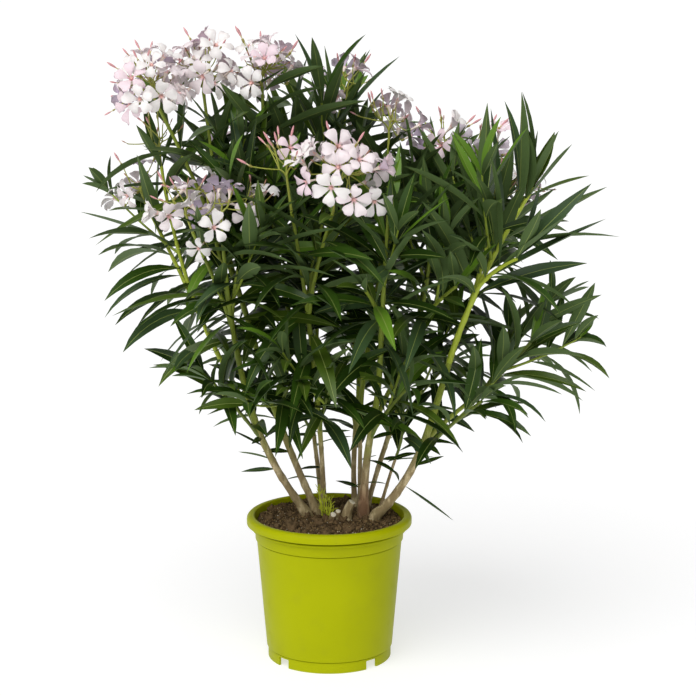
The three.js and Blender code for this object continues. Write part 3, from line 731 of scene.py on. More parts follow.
SLIM = {"stem_mid_left": 0.70, "stem_mid_right": 0.76, "stem_mid_thin": 0.72, "stem_back": 0.80}


def bark_relief(points, along, turn, ringed):
    """How far the bark stands out at each corner: flutes, fine cracks and the rings of old whorls."""
    flutes = np.array([noise.noise(Vector((x * 70, y * 70, z * 14))) for x, y, z in points])
    cracks = np.array([noise.noise(Vector((x * 380, y * 380, z * 160))) for x, y, z in points])
    whorl = along / RELIEF["ring_gap"] + 0.3 * np.sin(along * 37)
    nearest = np.round(whorl)
    from_ring = (whorl - nearest) * RELIEF["ring_gap"]
    scars = 0.5 + 0.5 * np.cos(3 * turn + math.pi * nearest)
    rings = np.exp(-((from_ring / RELIEF["ring_width"]) ** 2)) * scars
    return RELIEF["flutes"] * flutes + RELIEF["cracks"] * cracks + RELIEF["rings"] * rings * ringed


def upright_tube(sides, rings):
    """A closed tube round Z, one in radius and one long, cut into rings."""
    bm = bmesh.new()
    bmesh.ops.create_cone(bm, cap_ends=True, segments=sides, radius1=1, radius2=1, depth=1)
    upright = [e for e in bm.edges if abs(e.verts[0].co.z - e.verts[1].co.z) > 0.5]
    bmesh.ops.subdivide_edges(bm, edges=upright, cuts=rings - 1, use_grid_fill=True)
    return bm


# %% One limb's skin
def limb_mesh(curve, radii, sides=26, slim=SLENDER, foot=False, collar=False, ringed=1.0, knees=()):
    """A limb's closed skin. A foot swells into the ground, and a collar where it leaves its parent's side."""
    length = length_of(curve)
    bm = upright_tube(sides, max(8, int(length / RING_STEP)))
    plain = np.array([v.co for v in bm.verts])
    share = plain[:, 2] + 0.5
    along = share * length
    turn = np.arctan2(plain[:, 1], plain[:, 0])
    radius = (radii[0] + (radii[1] - radii[0]) * share) * slim
    radius *= 1 + (SLENDER / slim - 1) * np.clip((share - 0.7) / 0.3, 0, 1)
    if foot:
        lobes = 1 + 0.35 * np.cos(3 * turn + curve[0][0] * 90) + 0.25 * np.cos(5 * turn + 1)
        radius += FLARE["out"] * np.exp(-along / FLARE["long"])
        radius += LOBES["out"] * lobes * np.exp(-along / LOBES["long"])
    if collar:
        radius += COLLAR["out"] * np.exp(-along / COLLAR["long"])
    for at, out, long in knees:
        lumpy = 1 + 0.6 * np.cos(turn + at * 300) + 0.3 * np.cos(3 * turn)
        radius += 0.6 * out * lumpy * np.exp(-(((along - at) / long) ** 2))
    centre, heading = both_on(curve[None], share)
    across, beside = cross_axes(heading)
    outward = across * plain[:, :1] + beside * plain[:, 1:2]
    skin = centre + outward * radius[:, None]
    relief = bark_relief(skin, along, turn, ringed)
    skin += outward * relief[:, None]
    if foot:
        skin[:, 2] -= BURIED["down"] * np.exp(-along / BURIED["long"])
    for vert, place in zip(bm.verts, skin):
        vert.co = place
    bmesh.ops.recalc_face_normals(bm, faces=bm.faces)
    return mesh_from(bm)


# %% The bark's finish
GREEN_FROM = (0.272, 0.385)  # the heights between which the bark turns green
RED_UP_TO = (GROUND + 0.035, GROUND + 0.080)  # the heights between which a reddish foot turns grey
BARK = {"grey": "98855f", "pale": "cab88f", "green": "86972f", "young": "9dab3a", "pores": "54442c"}


def bark(name, red_foot=False):
    """Grey bark that turns green higher up, with pale flakes and pores."""
    finish = Finish(name, BARK["grey"], 0.7, Specular_IOR_Level=0.3)
    height = finish.node("ShaderNodeSeparateXYZ", None, {0: finish.place()}, "Z")
    blotches = finish.noise(55, 4, (1, 1, 0.4))
    flakes = finish.ramp(finish.noise(150, 5, (1, 1, 0.3)), 0.46, 0.66)
    pores = finish.ramp(finish.noise(540, 2, (1, 1, 0.6)), 0.58, 0.72)
    young = finish.ramp(height + blotches * 0.09 - 0.045, *GREEN_FROM)
    wood = finish.mix(flakes, BARK["grey"], BARK["pale"])
    if red_foot:
        above = finish.ramp(height + blotches * 0.03, *RED_UP_TO)
        wood = finish.mix(above, finish.mix(flakes, "86664a", "b3916f"), wood)
    skin = finish.mix(young, wood, finish.mix(blotches, BARK["green"], BARK["young"]))
    finish.set("Base Color", finish.mix(pores * 0.45, skin, BARK["pores"]))
    finish.set("Roughness", 0.72 - young * 0.22)
    finish.bump(flakes * 0.5 + finish.noise(900, 3), 0.0009, 0.8)
    return finish


# %% Cover the limbs
bark_finish = bark("bark_grey")
red_bark = bark("bark_reddish", red_foot=True)
for name in STEMS:
    curve, radii = limbs[name]
    finish = red_bark if name == "stem_centre" else bark_finish
    slim = SLIM.get(name, SLENDER)
    mesh = limb_mesh(curve, radii, slim=slim, foot=True, ringed=0.9, knees=KNEES.get(name, ()))
    add_piece(f"bark_{name}", mesh, [finish], [name], crease=70)
for name, (parent, share, _, _) in BOUGHS.items():
    curve, radii = limbs[name]
    mesh = limb_mesh(curve, radii, collar=share is not None)
    add_piece(f"bark_{name}", mesh, [bark_finish], [name], crease=70)

# %% [markdown]
# Three stems were pruned off near the ground. Their cut ends are pale fibrous wood inside a rim of bark,
# which stands a little higher, so the stump's top face is inset. The inner part gets the wood's finish
# and is pressed in a little.

# %% Stumps
STUMPS = {  # foot (x, y), lean (x, y) over its height, height, radius
    "stump_large": ((0.024, -0.009), (0.009, -0.004), 0.026, 0.0060),
    "stump_small_left": ((0.004, -0.012), (0.002, -0.006), 0.009, 0.0036),
    "stump_small_right": ((0.012, -0.006), (0.001, -0.005), 0.012, 0.0034),
}
cut_wood = Finish("cut_wood", "e6dcc4", 0.8)
fibres = cut_wood.noise(900, 3)
cut_wood.set("Base Color", cut_wood.mix(fibres, "d9cba9", "f4eee0"))
cut_wood.bump(fibres, 0.0005)
for name, (foot, lean, height, radius) in STUMPS.items():
    start = np.array([*foot, GROUND])
    middle = start + np.array([lean[0] * 0.2, lean[1] * 0.2, height * 0.5])
    end = start + np.array([*lean, height])
    mesh = limb_mesh(np.array([start, middle, end]), (radius * 1.25, radius), sides=24, foot=True, ringed=1.5)
    bm = merged([mesh])
    top = max((f for f in bm.faces if len(f.verts) > 4), key=lambda f: f.calc_center_median().z)
    inner = bmesh.ops.inset_region(bm, faces=[top], thickness=radius * 0.12, depth=-0.0003)
    top.material_index = 1
    for face in inner["faces"]:
        face.material_index = 0
    add_piece(f"bark_{name}", mesh_from(bm), [bark_finish, cut_wood], [name], crease=50)

# %% [markdown]
# ## Twigs
# A mass of foliage is a twig that leaves its limb and forks. The source's table gives its tips: the first
# ends the leader, and the others end twigs that leave the leader at its forks. Here the same rule is
# carried on to finer shoots, which leave each twig's upper part in turn round it.

# %% The masses' table
CROWN = {  # the masses that end the boughs of their names, each with its tips: x, y, z, flowers, buds
    "left_front": [
        (-0.145, -0.095, 0.636, 2, 1), (-0.188, -0.060, 0.632, 3, 1), (-0.112, -0.066, 0.634, 2, 1),
        (-0.166, -0.030, 0.656, 2, 0)],
    "left_side": [(-0.238, 0.026, 0.716, 0, 3), (-0.262, 0.066, 0.650, 2, 1)],
    "left_top": [(-0.240, -0.006, 0.806, 6, 2), (-0.178, 0.044, 0.820, 6, 1)],
    "top_left": [(-0.095, 0.050, 0.826, 7, 2), (-0.120, -0.014, 0.706)],
    "top_centre": [(-0.010, 0.100, 0.800), (-0.056, 0.130, 0.738)],
    "centre_front": [(-0.050, -0.088, 0.664, 1, 3), (0.006, -0.112, 0.664, 6, 2), (-0.006, -0.030, 0.650)],
    "centre": [(0.082, -0.092, 0.660), (0.052, -0.128, 0.560)],
    "centre_right": [(0.143, -0.008, 0.646), (0.176, -0.084, 0.560)],
    "back_centre": [(0.086, 0.096, 0.735, 3, 2), (0.122, 0.052, 0.700)],
    "back": [(0.024, 0.160, 0.788, 2, 1), (0.016, 0.214, 0.690, 2, 1), (0.084, 0.206, 0.640)],
    "back_left": [(-0.152, 0.182, 0.690, 2, 1), (-0.072, 0.220, 0.640), (-0.180, 0.128, 0.610)],
    "back_right": [(0.164, 0.114, 0.706, 2, 2), (0.210, 0.092, 0.700, 2, 2), (0.158, 0.190, 0.612)],
    "right": [
        (0.284, -0.050, 0.694), (0.232, -0.018, 0.640, 0, 3), (0.270, 0.062, 0.660, 2, 1),
        (0.256, -0.122, 0.604)],
    "right_low": [(0.286, -0.024, 0.470), (0.262, 0.060, 0.470)],
}
LOW = {  # the masses lower down: the limb that it grows on, where on it, and its one tip
    "low_left": ("stem_left_outer", 0.74, (-0.176, -0.054, 0.430)),
    "low_inner": ("stem_left_inner", 0.78, (-0.056, -0.092, 0.418)),
    "low_centre": ("stem_mid_right", 0.8, (0.006, -0.084, 0.424)),
    "low_front": ("stem_centre", 0.78, (0.112, -0.092, 0.420)),
    "low_right": ("stem_right", 0.66, (0.214, -0.084, 0.398)),
    "low_back_left": ("stem_mid_left", 0.6, (-0.116, 0.124, 0.430)),
    "low_back": ("stem_back", 0.62, (0.048, 0.176, 0.420)),
    "low_back_right": ("stem_back_right", 0.72, (0.180, 0.126, 0.412)),
    "low_twig": ("stem_low_right", None, (0.106, -0.030, 0.372)),
}
MASSES = {f"foliage_{name}": (f"bough_{name}", None, tips) for name, tips in CROWN.items()}
MASSES |= {f"foliage_{name}": (limb, share, [tip]) for name, (limb, share, tip) in LOW.items()}
all_masses = list(MASSES)
print(f"{len(MASSES)} masses")

# %% Grow the twigs
TWIG = {"base": 0.0044, "tip": 0.0022, "side": 0.8, "first_fork": 0.3, "fork_step": 0.08}
THICKEST = {"on": 0.95, "off": 0.52}  # as a share of the limb, on from its tip or off its side
STOUT = {"foliage_right": 1.5}  # a leader that is thicker than the others
BARE = {"foliage_right": 0.42}  # a leader that shows below its first leaves
# Clusters whose stalks are longer or shorter than the others.
RAISED = {"foliage_centre_front": 0.026, "foliage_top_left": -0.014, "foliage_left_top": -0.008}
GAP = {"twig": 0.0290, "shoot": 0.0230}  # between whorls of leaves
AIRY = {  # masses with wider gaps
    "foliage_right": 1.16, "foliage_right_low": 1.16, "foliage_centre_right": 1.16,
    "foliage_left_side": 1.2, "foliage_left_front": 1.1, "foliage_left_top": 1.1, "foliage_back_left": 1.1,
}
SHOOT = {
    "spacing": 0.120, "from": 0.36, "to": 0.86, "to_under_flowers": 0.62, "base": 0.0022, "tip": 0.0012,
    "turn_varies": 0.4, "lean": 40, "lean_varies": 9, "length": 0.105, "length_varies": (0.75, 1.2),
    "middle": 0.45, "onwards": 0.12, "upwards": 0.08,
}
GOLDEN = 137.5  # degrees from one shoot or flower to the next, which spreads any number of them evenly

twigs = []
clusters = []


def thickest(parent, share):
    """How thick a twig may be where it leaves a limb: as the limb's tip, or thinner at its side."""
    at = 1 if share is None else share
    foot, tip = limbs[parent][1]
    return (foot + (tip - foot) * at) * THICKEST["on" if share is None else "off"]


for name, (parent, share, tips) in MASSES.items():
    leader = grow_from(limbs[parent][0], share, tips[0][:3])
    for i, tip in enumerate(tips):
        flowers, buds = tip[3:] or (0, 0)
        fork = TWIG["first_fork"] + TWIG["fork_step"] * (i - 1)
        curve = leader if i == 0 else grow_from(leader, fork, tip[:3])
        stout = STOUT.get(name, 1) if i == 0 else TWIG["side"]
        base = min(TWIG["base"] * stout, thickest(parent, share))
        twigs.append({
            "curve": curve, "base": base, "tip": min(TWIG["tip"] * max(1, 0.8 * stout), base * 0.8),
            "leafy": BARE.get(name, 0.08) if i == 0 else 0.25,
            "gap": GAP["twig"] * AIRY.get(name, 1), "fine": False, "flowers": flowers,
            "mass": name, "leader": i == 0,
        })
        if flowers + buds:
            clusters.append((curve[2], heading_on(curve, 1), flowers, buds, RAISED.get(name, 0)))
print(f"{len(twigs)} twigs of the source, {len(clusters)} clusters")


# %% Finer shoots
def grow_shoots(twig, number):
    """Finer shoots along a twig's upper part, each turned on from the last by the golden angle."""
    curve = twig["curve"]
    last = SHOOT["to_under_flowers"] if twig["flowers"] else SHOOT["to"]
    count = int(length_of(curve) * (last - SHOOT["from"]) / SHOOT["spacing"] + 0.6)
    shoots = []
    for i in range(count):
        share = SHOOT["from"] + (last - SHOOT["from"]) * (i + 0.5) / count
        start, heading = both_on(curve, share)
        around = math.radians(GOLDEN * (number + i)) + jitter(SHOOT["turn_varies"])
        leaving = leaned(heading, around, math.radians(SHOOT["lean"] + jitter(SHOOT["lean_varies"])))
        reach = SHOOT["length"] * draw.uniform(*SHOOT["length_varies"])
        end = start + leaving * reach + heading * reach * SHOOT["onwards"]
        end[2] += reach * SHOOT["upwards"]
        shoots.append({
            "curve": np.array([start, start + leaving * reach * SHOOT["middle"], end]),
            "base": SHOOT["base"], "tip": SHOOT["tip"],
            "leafy": 0.36, "gap": GAP["shoot"] * AIRY.get(twig["mass"], 1), "fine": True, "flowers": 0,
            "mass": twig["mass"], "leader": False,
        })
    return shoots


for number, twig in enumerate(list(twigs)):
    twigs += grow_shoots(twig, 3 * number)
print(f"{len(twigs)} twigs in all")


# %% Twigs as one mesh
def tube_template(sides, rings):
    """The same tube from 0 to 1 along Z, as a template."""
    bm = upright_tube(sides, rings)
    bmesh.ops.translate(bm, verts=bm.verts, vec=(0, 0, 0.5))
    bmesh.ops.recalc_face_normals(bm, faces=bm.faces)
    return Template(bm)


def bend_tubes(template, curves, base, tip, swell=0.0, gaps=None, lengths=None):
    """Copies of a tube, each bent along its curve and tapered, with swollen rings where whorls sit."""
    share = np.broadcast_to(template.corners[None, :, 2], (len(curves), len(template.corners)))
    centre, heading = both_on(curves[:, None], share)
    across, beside = cross_axes(heading)
    radius = base[:, None] + (tip - base)[:, None] * share
    if swell:
        whorl = (1 - share) * lengths[:, None] / gaps[:, None]
        radius = radius * (1 + swell * np.exp(-(((whorl - np.round(whorl)) / 0.13) ** 2)))
    ring = across * template.corners[None, :, :1] + beside * template.corners[None, :, 1:2]
    return centre + ring * radius[..., None]


twig_curves, twig_base, twig_tip, twig_gap = (pick(twigs, key) for key in ("curve", "base", "tip", "gap"))
twig_lengths = np.array([length_of(curve) for curve in twig_curves])
tube = tube_template(7, 26)
twig_copies = bend_tubes(tube, twig_curves, twig_base, twig_tip, 0.2, twig_gap, twig_lengths)
TWIG_TINTS = {"twigs": "8b9c36", "twigs_low": "69782e", "twigs_bright": "b2c23e", "shoots": "93a638"}


def twig_piece(twig):
    """Which piece a twig belongs to, by where it grows."""
    if twig["fine"]:
        return "shoots"
    if twig["mass"] in ("foliage_right", "foliage_left_side"):
        return "twigs_bright"
    return "twigs_low" if "_low" in twig["mass"] else "twigs"


for name, colour in TWIG_TINTS.items():
    chosen = np.array([twig_piece(twig) == name for twig in twigs])
    finish = Finish(name, colour, 0.48, Specular_IOR_Level=0.35)
    nodes = all_masses if name == "twigs" else ()
    add_piece(name, joined(tube, twig_copies[chosen]), [finish], nodes, crease=70)

# %% [markdown]
# The same tube gives the pale straws and root fibres that lie on the compost.

# %% Straws on the compost
STRAWS = {"count": 54, "length": (0.006, 0.018), "radius": 0.00028}
straw_curves = []
for _ in range(STRAWS["count"]):
    straw_length = draw.uniform(*STRAWS["length"])
    middle = on_soil(np.array([0.0024]))[0]
    turn = draw.uniform(0, math.tau)
    along = np.array([math.cos(turn), math.sin(turn), 0]) * straw_length / 2
    bow = np.array([-along[1], along[0], 0.0022]) * draw.uniform(0.1, 0.8)
    straw_curves.append([middle - along, middle + bow, middle + along])
straw_tube = tube_template(5, 7)
straw_radius = STRAWS["radius"] * draw.uniform(0.6, 1.7, STRAWS["count"])
straws = joined(straw_tube, bend_tubes(straw_tube, np.array(straw_curves), straw_radius, straw_radius * 0.6))
add_piece("straws", straws, [Finish("straw", "c6b27e", 0.8)])

# %% [markdown]
# ## Flowers
# An oleander flower is a tube in a small red-green calyx. Its mouth flares into five broad petals, each
# cut aslant so that the flower looks like a propeller, round a fringed pink throat. Buds are slender
# spindles, twisted like a rolled umbrella. We model one of each, and set copies of them over domes.

# %% One petal
PETAL = {  # steps along a petal: distance from the axis, height over the mouth, half width
    "reach": (0.0022, 0.0050, 0.0092, 0.0140, 0.0188, 0.0228, 0.0250),
    "rise": (-0.0045, -0.0008, 0.0014, 0.0026, 0.0022, 0.0004, -0.0018),
    "width": (0.0013, 0.0022, 0.0046, 0.0076, 0.0092, 0.0083, 0.0042),
}
PETAL_STEPS = len(PETAL["reach"]) - 1
PETAL_BEND = {"rim": 0.0026, "dish": 0.0012, "ruffle": 0.0016, "ragged": 0.0009, "skew": 0.0018}
PROPELLER, UNEVEN = 8, 17  # how far petals are twisted, and by how much they differ, in degrees
PETAL_FRONT, PETAL_MOUTH, PETAL_BACK = 0, 1, 2
PETAL_THICK = 0.0004
MOUTH_ENDS = 0.0056  # how far from the axis the petals have the mouth's colour


def petal_mesh(raised, twisted, size):
    """A thin closed petal in its place on a flower that faces +Z, with its own finish on either side."""
    ruffle = draw.uniform(0, math.tau)
    aslant = draw.uniform(0.0026, 0.0052)
    bm = bmesh.new()
    bmesh.ops.create_grid(bm, x_segments=4, y_segments=PETAL_STEPS, size=1)
    for vert in bm.verts:
        across, share = vert.co.x, (vert.co.y + 1) / 2
        step = round(share * PETAL_STEPS)
        reach, rise, width = (PETAL[key][step] for key in ("reach", "rise", "width"))
        slant = aslant * share**1.6
        cup = PETAL_BEND["rim"] * across * share - PETAL_BEND["dish"] * across**2 * share
        cup += PETAL_BEND["ruffle"] * share**2 * math.sin(3.4 * across + ruffle)
        ragged = PETAL_BEND["ragged"] * share**3 * math.sin(2.6 * across + 2 * ruffle)
        reach -= PETAL_BEND["skew"] * share**2 * across
        vert.co = (size * across * width + slant, reach + ragged, rise + cup)
    for face in bm.faces:
        is_mouth = face.calc_center_median().y < MOUTH_ENDS
        face.material_index = PETAL_MOUTH if is_mouth else PETAL_FRONT
    outline = {v.index for e in bm.edges if len(e.link_faces) == 1 for v in e.verts}
    inside = [v for v in bm.verts if v.index not in outline]
    copied = bmesh.ops.duplicate(bm, geom=bm.verts[:] + bm.edges[:] + bm.faces[:])
    back = [g for g in copied["geom"] if isinstance(g, bmesh.types.BMFace)]
    for face in back:
        face.material_index = PETAL_BACK
    bmesh.ops.translate(bm, verts=[copied["vert_map"][v] for v in inside], vec=(0, 0, -PETAL_THICK))
    bmesh.ops.reverse_faces(bm, faces=back)
    bmesh.ops.remove_doubles(bm, verts=bm.verts, dist=1e-6)
    mouth = Vector((0, PETAL["reach"][1], 0))
    lobe = [v for v in bm.verts if v.co.y > mouth.y]
    turn = Matrix.Rotation(math.radians(raised), 3, "X") @ Matrix.Rotation(math.radians(twisted), 3, "Y")
    bmesh.ops.rotate(bm, verts=lobe, cent=mouth, matrix=turn)
    bmesh.ops.scale(bm, verts=lobe, vec=(1, size, 1), space=Matrix.Translation(-mouth))
    return mesh_from(bm)


# %% One flower
def flower_template(raised):
    """Five petals round the axis, all raised by about the same angle in degrees."""
    petals = []
    for i in range(5):
        raise_by, twist_by = raised + jitter(UNEVEN), PROPELLER + jitter(UNEVEN)
        petal = petal_mesh(raise_by, twist_by, draw.uniform(0.84, 1.06))
        petal.transform(Matrix.Rotation(math.radians(360 / 5 * i + jitter(5)), 4, "Z"))
        petals.append(petal)
    return Template(merged(petals))


# %% One tube, one calyx and one bud
def spun_shape(section, sides, twist=0.0, points=None):
    """A turned shape, twisted or not. points is (lowest, highest, drop): rows between get zigzag tips."""
    bm = turn_section(section, sides)
    for vert in bm.verts:
        if twist:
            turn = Matrix.Rotation(twist * vert.co.z, 3, "Z")
            vert.co = turn @ vert.co
    if points:
        low, high, drop = points
        for vert in bm.verts:
            column = round(math.atan2(vert.co.y, vert.co.x) / math.tau * sides)
            if low < vert.co.z < high and column % 2:
                vert.co.z -= drop
    return bm


tube_section = [
    (0, -0.0235), (0.0011, -0.0232), (0.0013, -0.0165), (0.0020, -0.0105), (0.0033, -0.0050),
    (0.0036, -0.0034), (0.0029, -0.0040), (0.0016, -0.0090), (0, -0.0115),
]
bm = spun_shape(tube_section, 10)
for face in bm.faces:
    middle = face.calc_center_median()
    looks_in = face.normal.x * middle.x + face.normal.y * middle.y < 0 or middle.z > -0.0044
    face.material_index = 1 if looks_in and middle.z > -0.012 else 0
flower_tube = Template(bm)
fringe = Template(spun_shape(
    [(0, -0.0062), (0.0016, -0.0040), (0.0021, -0.0002), (0.0013, -0.0024), (0, -0.0046)], 10,
    points=(-0.0008, 0.002, 0.0020)))
calyx_section = [
    (0, -0.0252), (0.0013, -0.0250), (0.0019, -0.0228), (0.0022, -0.0180), (0.0012, -0.0200), (0, -0.0205),
]
calyx = Template(spun_shape(calyx_section, 10, points=(-0.0190, -0.0170, 0.0034)))
bud_section = [
    (0, 0), (0.0007, 0.0004), (0.0010, 0.0050), (0.0013, 0.0105), (0.0019, 0.0150),
    (0.0022, 0.0190), (0.0017, 0.0238), (0.0008, 0.0272), (0, 0.0290),
]
bm = spun_shape(bud_section, 8, twist=90)
for face in bm.faces:
    face.material_index = 1 if face.calc_center_median().z > 0.0112 else 0
bud_shape = Template(bm)
flower_shapes = [flower_template(raised) for raised in (0, 8, 20, 34, 52, -14)]
print(f"flower {len(flower_shapes[0].counts)} faces, bud {len(bud_shape.counts)} faces")

# %% [markdown]
# A cluster ends a twig. Its stalk rises clear of the leaves and parts into three, and from these the
# flowers fan out over a dome, youngest in the middle. The source places fewer heads on the same dome, so
# here each cluster gets more of them, and the tables' counts still say which clusters are large.

# %% Place the heads
TUBE_LENGTH = 0.0248  # from a flower's centre back to its stalk
CLUSTER = {
    "upward": 0.25, "stem": 0.024, "arms": 3, "arm": 0.018, "spread": 106, "least": 0.033, "each": 0.0040,
    "apart": 0.0182, "core": 0.55, "small_core": 0.012,
}
STALKS = {"stem": (0.0020, 0.0015), "arm": (0.0014, 0.0011), "head": (0.0009, 0.0008)}  # radii at both ends
# Clusters further back than this are also in painted shade: their flowers get darker petal tints more often.
BACK = 0.07  # clusters further back than this don't turn to the light
LIGHT_SIDE = np.array([-0.25, -0.75, 0.35])  # where flowers turn to
MANY_FLOWERS = {0: 0, 1: 1, 2: 4, 3: 6, 6: 19, 7: 20}  # the source's count of heads, and the count here
MORE_BUDS = 4
heads = []
stalks = []
head_points = []
cluster_cores = []


def add_stalk(start, middle, end, kind):
    """Notes a stalk's curve and its radii."""
    base, tip = STALKS[kind]
    stalks.append({"curve": np.array([start, middle, end]), "base": base, "tip": tip})


# %% One cluster
def grow_cluster(foot, heading, flowers, buds, raised):
    """A stalk, its three arms, and heads on stalks over a dome."""
    heading = unit(heading + np.array([0, 0, CLUSTER["upward"]]))
    top = foot + heading * (CLUSTER["stem"] + raised)
    add_stalk(foot - heading * 0.003, (foot + top) / 2, top, "stem")
    arms = []
    for i in range(CLUSTER["arms"]):
        turn = math.radians(360 / CLUSTER["arms"] * i + 40)
        leaning = heading * 0.8 + beside_at(heading, turn) * 0.6
        end = top + leaning * CLUSTER["arm"] * draw.uniform(0.8, 1.1)
        add_stalk(top, top + heading * 0.006 + leaning * 0.004, end, "arm")
        arms.append(end)
    many_flowers = MANY_FLOWERS[flowers]
    many_buds = buds * MORE_BUDS + many_flowers // 3
    total = many_flowers + many_buds
    dome = CLUSTER["least"] + CLUSTER["each"] * math.sqrt(total)
    core = dome * CLUSTER["core"]
    cluster_cores.append((top + heading * core, core if many_flowers > 3 else CLUSTER["small_core"]))
    for i in range(total):
        is_bud = (i + 1) * many_buds // total > i * many_buds // total
        turn = math.radians(GOLDEN * i) + jitter(0.25)
        lean = math.radians(CLUSTER["spread"] * math.sqrt((i + 0.3) / total))
        if is_bud:
            lean *= draw.uniform(0.2, 0.95)
        facing = leaned(heading, turn, lean)
        if is_bud:
            size = 0.34 + 0.56 * draw.random() ** 1.3
            centre = top + facing * dome * (0.45 + 0.55 * size + draw.uniform(0, 0.3))
        else:
            size = draw.uniform(0.86, 1.06)
            centre = top + facing * dome * draw.uniform(0.72, 1.12)
            if head_points and min(np.linalg.norm(centre - p) for p in head_points) < CLUSTER["apart"]:
                continue
            head_points.append(centre)
        facing = unit(facing + draw.normal(size=3) * (0.16 if is_bud else 0.34))
        if not is_bud and foot[1] < BACK:
            facing = unit(facing + 0.28 * LIGHT_SIDE)
        root = min(arms, key=lambda arm: np.linalg.norm(centre - arm))
        back = centre if is_bud else centre - facing * TUBE_LENGTH * size
        add_stalk(root, (root + back) / 2 - facing * 0.005, back, "head")
        # Flowers that face away or stand at the back are marked for painted shade, which deals them darker
        # petal tints more often.
        in_painted_shade = facing[1] > 0.45 or foot[1] > BACK
        heads.append({"bud": is_bud, "centre": centre, "facing": facing, "size": size, "in_painted_shade": in_painted_shade})


# %% Grow the clusters
for cluster in clusters:
    grow_cluster(*cluster)
print(f"{sum(not h['bud'] for h in heads)} flowers, {sum(h['bud'] for h in heads)} buds")


# %% Flowers, buds and stalks as joined meshes
def posed(template, some, offset=0.0):
    """Copies of a template, each turned to its head's facing, at a random turn round it."""
    centres, facing, sizes = (pick(some, key) for key in ("centre", "facing", "size"))
    across, beside = cross_axes(facing)
    turn = draw.uniform(0, math.tau, len(some))[:, None]
    first = across * np.cos(turn) + beside * np.sin(turn)
    second = np.cross(facing, first)
    local = template.corners[None] * sizes[:, None, None]
    return (
        centres[:, None]
        + first[:, None] * local[..., :1]
        + second[:, None] * local[..., 1:2]
        + facing[:, None] * (local[..., 2:] + offset * sizes[:, None, None])
    )


# %% Petals in four tints
throat_pink = Finish("throat_pink", "f0c8c0", 0.55)
TINTS = {  # front, mouth and back of the petals
    "white": ("fcf6f3", "f9e9e6", "efe5e9"),
    "blush": ("f9ebed", "f4d5d9", "e4d3dc"),
    "pink": ("f4dbe3", "ebbac6", "d6bfd0"),
    # The last tint is mostly a painted shade: darker petals, dealt mainly to flowers in painted shade.
    "mauve_painted_shade": ("e6d6e4", "dab4c6", "c4b2ca"),
}
# Chances for flowers in the light, and for those in painted shade, which get the pink and the last, darker
# tint more often to paint the shade.
TINT_CHANCES = {False: (0.44, 0.34, 0.19, 0.03), True: (0.16, 0.24, 0.28, 0.32)}  # in the light, in the shade
THIN = {
    "Subsurface_Weight": 0.30, "Subsurface_Scale": 0.004, "Subsurface_Radius": (0.9, 0.8, 0.75),
    "Specular_IOR_Level": 0.25,
}
flowers = [h for h in heads if not h["bud"]]
dealt_tints = [draw.choice(list(TINTS), p=TINT_CHANCES[bool(h["in_painted_shade"])]) for h in flowers]
dealt_shapes = draw.choice(len(flower_shapes), len(flowers), p=[0.22, 0.24, 0.20, 0.13, 0.10, 0.11])
petal_finishes = {}
for tint, colours in TINTS.items():
    sides = zip(("", "_mouth", "_back"), colours, (0.55, 0.55, 0.6))
    petal_finishes[tint] = [Finish(f"petal_{tint}{side}", *look, **THIN) for side, *look in sides]
    parts = []
    for number, shape in enumerate(flower_shapes):
        some = [h for h, t, n in zip(flowers, dealt_tints, dealt_shapes) if t == tint and n == number]
        if some:
            parts.append((shape, posed(shape, some)))
    add_piece(f"petals_{tint}", joined_kinds(parts), petal_finishes[tint])

# %% Tubes, fringes, buds, calyxes and stalks
tube_finish = Finish("flower_tube", "f1e2d6", 0.55)
tubes = joined(flower_tube, posed(flower_tube, flowers))
add_piece("flower_tubes", tubes, [tube_finish, throat_pink])
add_piece("flower_fringes", joined(fringe, posed(fringe, flowers)), [throat_pink])
buds = [h for h in heads if h["bud"]]
BUD_TINTS = {"buds_pink": ("ddd0a0", "da9da0"), "buds_young": ("a3a04e", "ad7d66")}  # foot and tip
for name, (foot, tip) in BUD_TINTS.items():
    some = [h for h in buds if (h["size"] > 0.56) == (name == "buds_pink")]
    finishes = [Finish(f"{name}_foot", foot, 0.5), Finish(f"{name}_tip", tip, 0.5)]
    add_piece(name, joined(bud_shape, posed(bud_shape, some)), finishes)
calyx_finish = Finish("calyx", "9a9145", 0.5)
calyx_parts = [(calyx, posed(calyx, flowers)), (calyx, posed(calyx, buds, 0.0235))]
add_piece("calyxes", joined_kinds(calyx_parts), [calyx_finish])
stalk_finish = Finish("stalk", "a5ab48", 0.5)
stalk_tube = tube_template(5, 6)
stalk_copies = bend_tubes(stalk_tube, *(pick(stalks, key) for key in ("curve", "base", "tip")))
add_piece("flower_stalks", joined(stalk_tube, stalk_copies), [stalk_finish])

# %% [markdown]
# ## Leaves
# The leaf is a long leathery lance, folded a little along its pale midrib, glossy dark green above and
# dull grey-green below. There are well over a thousand, so one leaf has a few dozen faces. A flat card
# with a picture would be cheaper, but would look like paper from the side, so the template has a top and
# an underside that share the outline, and the midrib is a strip of faces of its own.

# %% One leaf
LEAF_TOP, LEAF_UNDER, LEAF_RIB = 0, 1, 2
LEAF_ROWS = 8
RIB = 0.054  # half the midrib's width as a share of half the blade's


def leaf_width(share):
    """Half the blade's width at a share of its length, as a share of the greatest half width."""
    if share <= 0 or share >= 1:
        return 0.0
    blade = max(0.0, (share - 0.05) / 0.95)
    return max(0.11, math.sin(math.pi * blade**0.90) ** 0.92 * (1.04 - 0.14 * blade))


